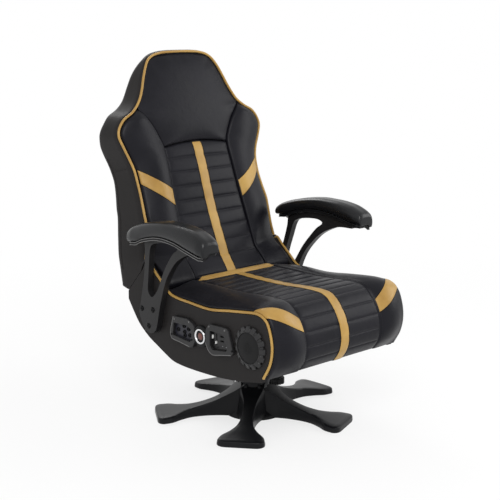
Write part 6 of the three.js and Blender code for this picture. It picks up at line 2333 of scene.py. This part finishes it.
@dataclass
class Pedestal:
    """The five-legged base with its round hub."""

    shop: Workshop
    reach: float = 304.0
    foot_half: float = 70.0
    hub_height: float = 110.0
    hub_radius: float = 47.0
    hub_foot: float = 30.0
    skirt_foot: float = 2.5
    bore: float = 30.0
    legs: int = 5
    first_angle: float = 3.4
    rows: tuple[tuple[float, float, float, float, float], ...] = (
        (1, .66, .68, .13, 0), (.98, .86, .88, .155, 0), (.935, .97, 1, .168, 0), (.86, .9, .95, .186, .01),
        (.76, .59, .65, .222, .015), (.66, .38, .43, .262, .02), (.56, .29, .34, .318, .02),
        (.47, .27, .33, .385, .02), (.39, .28, .37, .46, .022), (.31, .33, .46, .565, .025),
        (.24, .43, .60, .675, .03), (.166, .57, .68, .82, .035), (.103, .62, .68, .93, .035))
    hub: Pairs = (
        (.94, 1), (.985, .985), (.995, .95), (1.0, .86), (1.07, .7), (1.17, .56), (1.3, .43), (1.46, .31),
        (1.64, .21), (1.82, .13), (1.93, .08), (1.96, .05))

    def _leg(self) -> Form:
        """One leg along the X axis.

        Returns:
            Its points and faces.
        """
        path = SmoothPath([(r * self.reach, t * self.foot_half, b * self.foot_half, z1 * self.hub_height,
                            z0 * self.hub_height) for r, t, b, z1, z0 in self.rows[2:]], 24)
        rows = path.at(np.linspace(0, 1, 80))
        first = rows[0]
        nose = []
        for a in np.linspace(0.10, 0.5 * math.pi, 14)[:-1]:
            wide, ahead = math.sin(a) ** 0.62, math.cos(a)
            row = first.copy()
            row[0] = first[0] + ahead * (self.reach - first[0])
            row[1], row[2] = first[1] * mix(0.50, 1, wide), first[2] * mix(0.50, 1, wide)
            row[3] = first[3] * mix(0.72, 1, wide)
            nose.append(row)
        rings = []
        for x, top, bottom, z1, z0 in [*nose, *rows]:
            rise = z1 - z0
            right = [(.55 * top, z1 + 0.6), (.86 * top, z1), (.955 * top, z1 - .07 * rise), (top, mix(z0, z1, .80)),
                     (mix(top, bottom, .5), mix(z0, z1, .5)), (bottom, mix(z0, z1, .2)),
                     (.985 * bottom, z0 + .06 * rise), (.95 * bottom, z0)]
            left = [(-y, z) for y, z in right[::-1]]
            rings.append([(x, y, z) for y, z in [(0, z1 + 0.8), *right, *left]])
        return loft(np.array(rings))

    def build(self) -> None:
        """Joins the legs and the hub, and cuts the bore."""
        profile = [(0, self.hub_height)] + [(r * self.hub_radius, z * self.hub_height) for r, z in self.hub]
        profile += [(profile[-1][0], self.skirt_foot), (0, self.skirt_foot)]
        base = self.shop.object("pedestal_star", *lathe(profile, 120, Matrix.Identity(4)))
        points, faces = self._leg()
        tools = []
        for k in range(self.legs):
            angle = math.radians(self.first_angle) + 2 * math.pi * k / self.legs
            turn = np.array([[math.cos(angle), -math.sin(angle), 0], [math.sin(angle), math.cos(angle), 0], [0, 0, 1]])
            tools.append(self.shop.object("leg", points @ turn.T, faces))
        self.shop.combined(base, tools, "UNION")
        openings = [self.shop.object(name, *lathe([(0, -6), (radius, -6), (radius, top), (0, top)], 96,
                                                  Matrix.Identity(4)))
                    for name, radius, top in (("bore", self.bore, self.hub_height + 6),
                                              ("recess", self.hub_radius, self.hub_foot))]
        self.shop.combined(base, openings, "DIFFERENCE")
        self.shop.sharp(base, 34)
        self.shop.dress(base, "pedestal", SATIN, ["pedestal_base"])


@dataclass
class TiltParts:
    """The steel parts between the post and the seat, the boards and the hinges."""

    shop: Workshop
    nodes: dict[str, Piece]
    rod_y: float = -100.0
    knob_radius: float = 22.0
    knob_grips: int = 8
    grip_radius: float = 3.0
    grip_depth: float = 0.9
    spring_span: tuple[float, float] = (138.5, 184.5)
    spring_turns: float = 4.5
    spring_radius: float = 13.0
    spring_wire: float = 2.2
    refined: dict[str, tuple[str, Finish, float]] = field(default_factory=lambda: {
        "swivel_bushing": ("pedestal", PLASTIC, 0.8), "swivel_post": ("swivel_head", STEEL, 0.8),
        "retaining_clip": ("swivel_head", STEEL, 0.3), "tilt_bracket": ("swivel_head", PAINTED, 1.2),
        "tilt_axle": ("swivel_head", STEEL, 0.8), "tilt_stop_pad": ("swivel_head", RUBBER, 1.0),
        "tension_rod": ("seat_body", STEEL, 0.5), "seat_mount_plate": ("seat_body", PAINTED, 1.0),
        "seat_board": ("seat_body", PLYWOOD, 0.8), "underside_pan": ("seat_body", PLASTIC, 1.5),
        "seat_crossbar_front": ("seat_body", PAINTED, 1.5), "seat_crossbar_rear": ("seat_body", PAINTED, 1.5),
        "amplifier_box": ("seat_body", PLASTIC, 2.0), "speaker_driver_right": ("seat_body", PAINTED, 1.0),
        "speaker_driver_left": ("seat_body", PAINTED, 1.0), "fold_pin_right": ("seat_body", PAINTED, 0.6),
        "fold_pin_left": ("seat_body", PAINTED, 0.6), "fold_hinge_right": ("backrest", PAINTED, 0.8),
        "fold_hinge_left": ("backrest", PAINTED, 0.8), "back_board": ("backrest", PLYWOOD, 0.8),
        "subwoofer_box": ("backrest", PLASTIC, 2.0)})

    def build(self) -> None:
        """Rounds the edges of the frame's plain parts and makes the knob and the spring."""
        for name, (body, finish, width) in self.refined.items():
            made = placed(f"{name}_finished", self.nodes[name].data.copy())
            with edited(made.data) as shape:
                bmesh.ops.remove_doubles(shape, verts=shape.verts, dist=2e-6)
                bmesh.ops.dissolve_limit(shape, angle_limit=math.radians(1), verts=shape.verts, edges=shape.edges)
            self.shop.bevelled(made, width, 2, 32)
            self.shop.dress(made, body, finish, [name])
        self._knob()
        self._spring()

    def _knob(self) -> None:
        """The tension knob, with grips round it."""
        profile = [(4.5, 116.4), (16, 116), (20.6, 116.4), (22, 118.2), (22, 133.6), (20.6, 135.4), (9, 136),
                   (4.5, 135.6), (4.5, 116.4)]
        frame = Matrix.Translation((0, self.rod_y, 0))
        made = self.shop.object("tension_knob_grip", *lathe(profile, 240, frame, self._gripped))
        self.shop.dress(self.shop.sharp(made, 45), "tension_knob", PLASTIC, ["tension_knob"])

    def _gripped(self, angle: float, reach: float) -> float:
        """The knob's radius with a scallop at each grip.

        Args:
            angle: A place round the knob.
            reach: The plain radius.

        Returns:
            The radius there.
        """
        if reach < 0.8 * self.knob_radius:
            return reach
        pitch = 2 * math.pi / self.knob_grips
        away = self.knob_radius * abs((angle + pitch / 2) % pitch - pitch / 2)
        return reach - self.grip_depth * math.sqrt(max(self.grip_radius**2 - away**2, 0))

    def _spring(self) -> None:
        """The tilt spring, a smooth coil that stands on the knob, made at one fixed length although the real one
        shortens as the seat tips back.
        """
        radius, (foot, top) = self.spring_radius, self.spring_span
        t = np.linspace(0, 1, 260)
        angle = 2 * math.pi * self.spring_turns * t
        line = np.stack([radius * np.cos(angle), self.rod_y + radius * np.sin(angle), mix(foot, top, t)], axis=1)
        made = self.shop.object("tilt_coil_spring", *tube(line, self.spring_wire, 12))
        self.shop.dress(made, "seat_body", STEEL, ["tilt_spring"])
        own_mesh(made)


@dataclass
class Studio:
    """The pale floor, the soft lights, the white surroundings and the camera."""

    shop: Workshop
    lens: float = 80.05
    eye: tuple[float, float, float] = (-2209.8, -2394.5, 1205.8)
    forward: tuple[float, float, float] = (0.6601, 0.7215, -0.2092)
    floor_half: float = 9000.0
    floor_glow: tuple[float, float] = (0.74, 1.0)
    floor_span: tuple[float, float] = (0.55, 2.6)
    lamps: tuple[tuple[str, Colour, float, float], ...] = (
        ("key_light", (-1.7, -2.3, 2.7), 1.9, 62.0), ("fill_light", (2.3, -1.6, 1.6), 1.8, 26.0),
        ("rim_light", (0.9, 2.5, 2.5), 1.6, 26.0))
    surround: float = 0.62

    def build(self) -> None:
        """Makes the stage."""
        self._camera()
        self._floor()
        self._surroundings()
        for lamp in self.lamps:
            self._light(*lamp)
        bpy.context.scene.view_settings.view_transform = "Standard"

    def _camera(self) -> None:
        """The camera at the photograph's place."""
        data = bpy.data.cameras.new("camera")
        data.lens, data.sensor_width, data.clip_end = self.lens, 36.0, 100.0
        made = placed("camera", data)
        made.location = np.array(self.eye) * MM + self.shop.shift
        made.rotation_euler = Vector(self.forward).to_track_quat("-Z", "Y").to_euler()
        bpy.context.scene.camera = made

    def _floor(self) -> None:
        """A wide floor, near white to the camera, that keeps a soft shadow."""
        s = Shader(bpy.data.materials.new("pale_studio_floor"))
        s.shader.inputs["Roughness"].default_value = 0.9
        coordinates = s.node("ShaderNodeTexCoord").outputs["Object"]
        noise = s.node("ShaderNodeTexNoise", Scale=2.0, Detail=2.0)
        s.link(coordinates, noise.inputs["Vector"])
        s.link(s.ramp(noise.outputs["Fac"], [(0.3, (0.90, 0.90, 0.90)), (0.7, (0.92, 0.92, 0.92))]),
               s.shader.inputs["Base Color"])
        glow = s.node("ShaderNodeEmission", Color=(1, 1, 1, 1), Strength=1.0)
        away = s.node("ShaderNodeVectorMath", operation="LENGTH")
        s.link(coordinates, away.inputs[0])
        far = s.levels(away.outputs["Value"], *self.floor_glow, self.floor_span, "SMOOTHSTEP")
        share = s.node("ShaderNodeMath", operation="MULTIPLY")
        s.link(far, share.inputs[1])
        s.link(s.rays("Is Camera Ray", "Is Glossy Ray"), share.inputs[0])
        mixed = s.node("ShaderNodeMixShader")
        s.link(share.outputs[0], mixed.inputs["Fac"])
        s.link(s.shader.outputs[0], mixed.inputs[1])
        s.link(glow.outputs[0], mixed.inputs[2])
        s.link(mixed.outputs[0], s.tree.nodes["Material Output"].inputs["Surface"])
        half = self.floor_half
        corners = [(-half, -half, -0.3), (half, -half, -0.3), (half, half, -0.3), (-half, half, -0.3)]
        made = self.shop.object("studio_floor", np.array(corners), [[0, 1, 2, 3]], outward=False)
        made.data.materials.append(s.owner)

    def _surroundings(self) -> None:
        """A world that is white to the camera and to reflections, and lights softly."""
        s = Shader(bpy.data.worlds.new("studio_surroundings"))
        ground = s.tree.nodes["Background"]
        ground.inputs["Color"].default_value = (1, 1, 1, 1)
        seen = s.rays("Is Camera Ray", "Is Transmission Ray", "Is Glossy Ray")
        s.link(s.levels(seen, self.surround, 1.0, (0.0, 1.0)), ground.inputs["Strength"])
        bpy.context.scene.world = s.owner

    def _light(self, name: str, place: tuple[float, float, float], size: float, power: float) -> None:
        """A large soft lamp that faces the chair.

        Args:
            name: Its name.
            place: Where it hangs, in metres.
            size: Its width.
            power: Its power in watts.
        """
        data = bpy.data.lights.new(name, "AREA")
        data.shape, data.size, data.energy = "DISK", size, power
        made = placed(name, data)
        made.location = place
        made.rotation_euler = (Vector((0, 0, 0.55)) - Vector(place)).to_track_quat("-Z", "Y").to_euler()


def main() -> None:
    """Builds the chair's sub-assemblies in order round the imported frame."""
    logging.basicConfig(level=logging.INFO, format="%(name)s: %(message)s")
    for obj in list(bpy.data.objects):
        bpy.data.objects.remove(obj)
    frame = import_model()
    low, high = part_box("swivel_post")
    shop = Workshop((low.y + high.y) / 2)
    Studio(shop).build()
    form = BackForm()
    seat, back = SeatUpholstery(shop), BackUpholstery(shop, form)
    stuffing = Stuffing(shop)
    seat.build(stuffing)
    back.build(stuffing)
    stuffing.run()
    overlay = Overlay(shop)
    for cover in (seat, back):
        cover.trim(overlay)
        cover.stitches(overlay)
    shell = RearShell(shop, form)
    shell.build()
    shell.seams()
    for assembly in (SeatPanels(shop), Speakers(shop), SoundControls(shop), Armrests(shop), Pedestal(shop),
                     TiltParts(shop, frame["nodes"])):
        assembly.build()


if __name__ == "__main__":
    main()
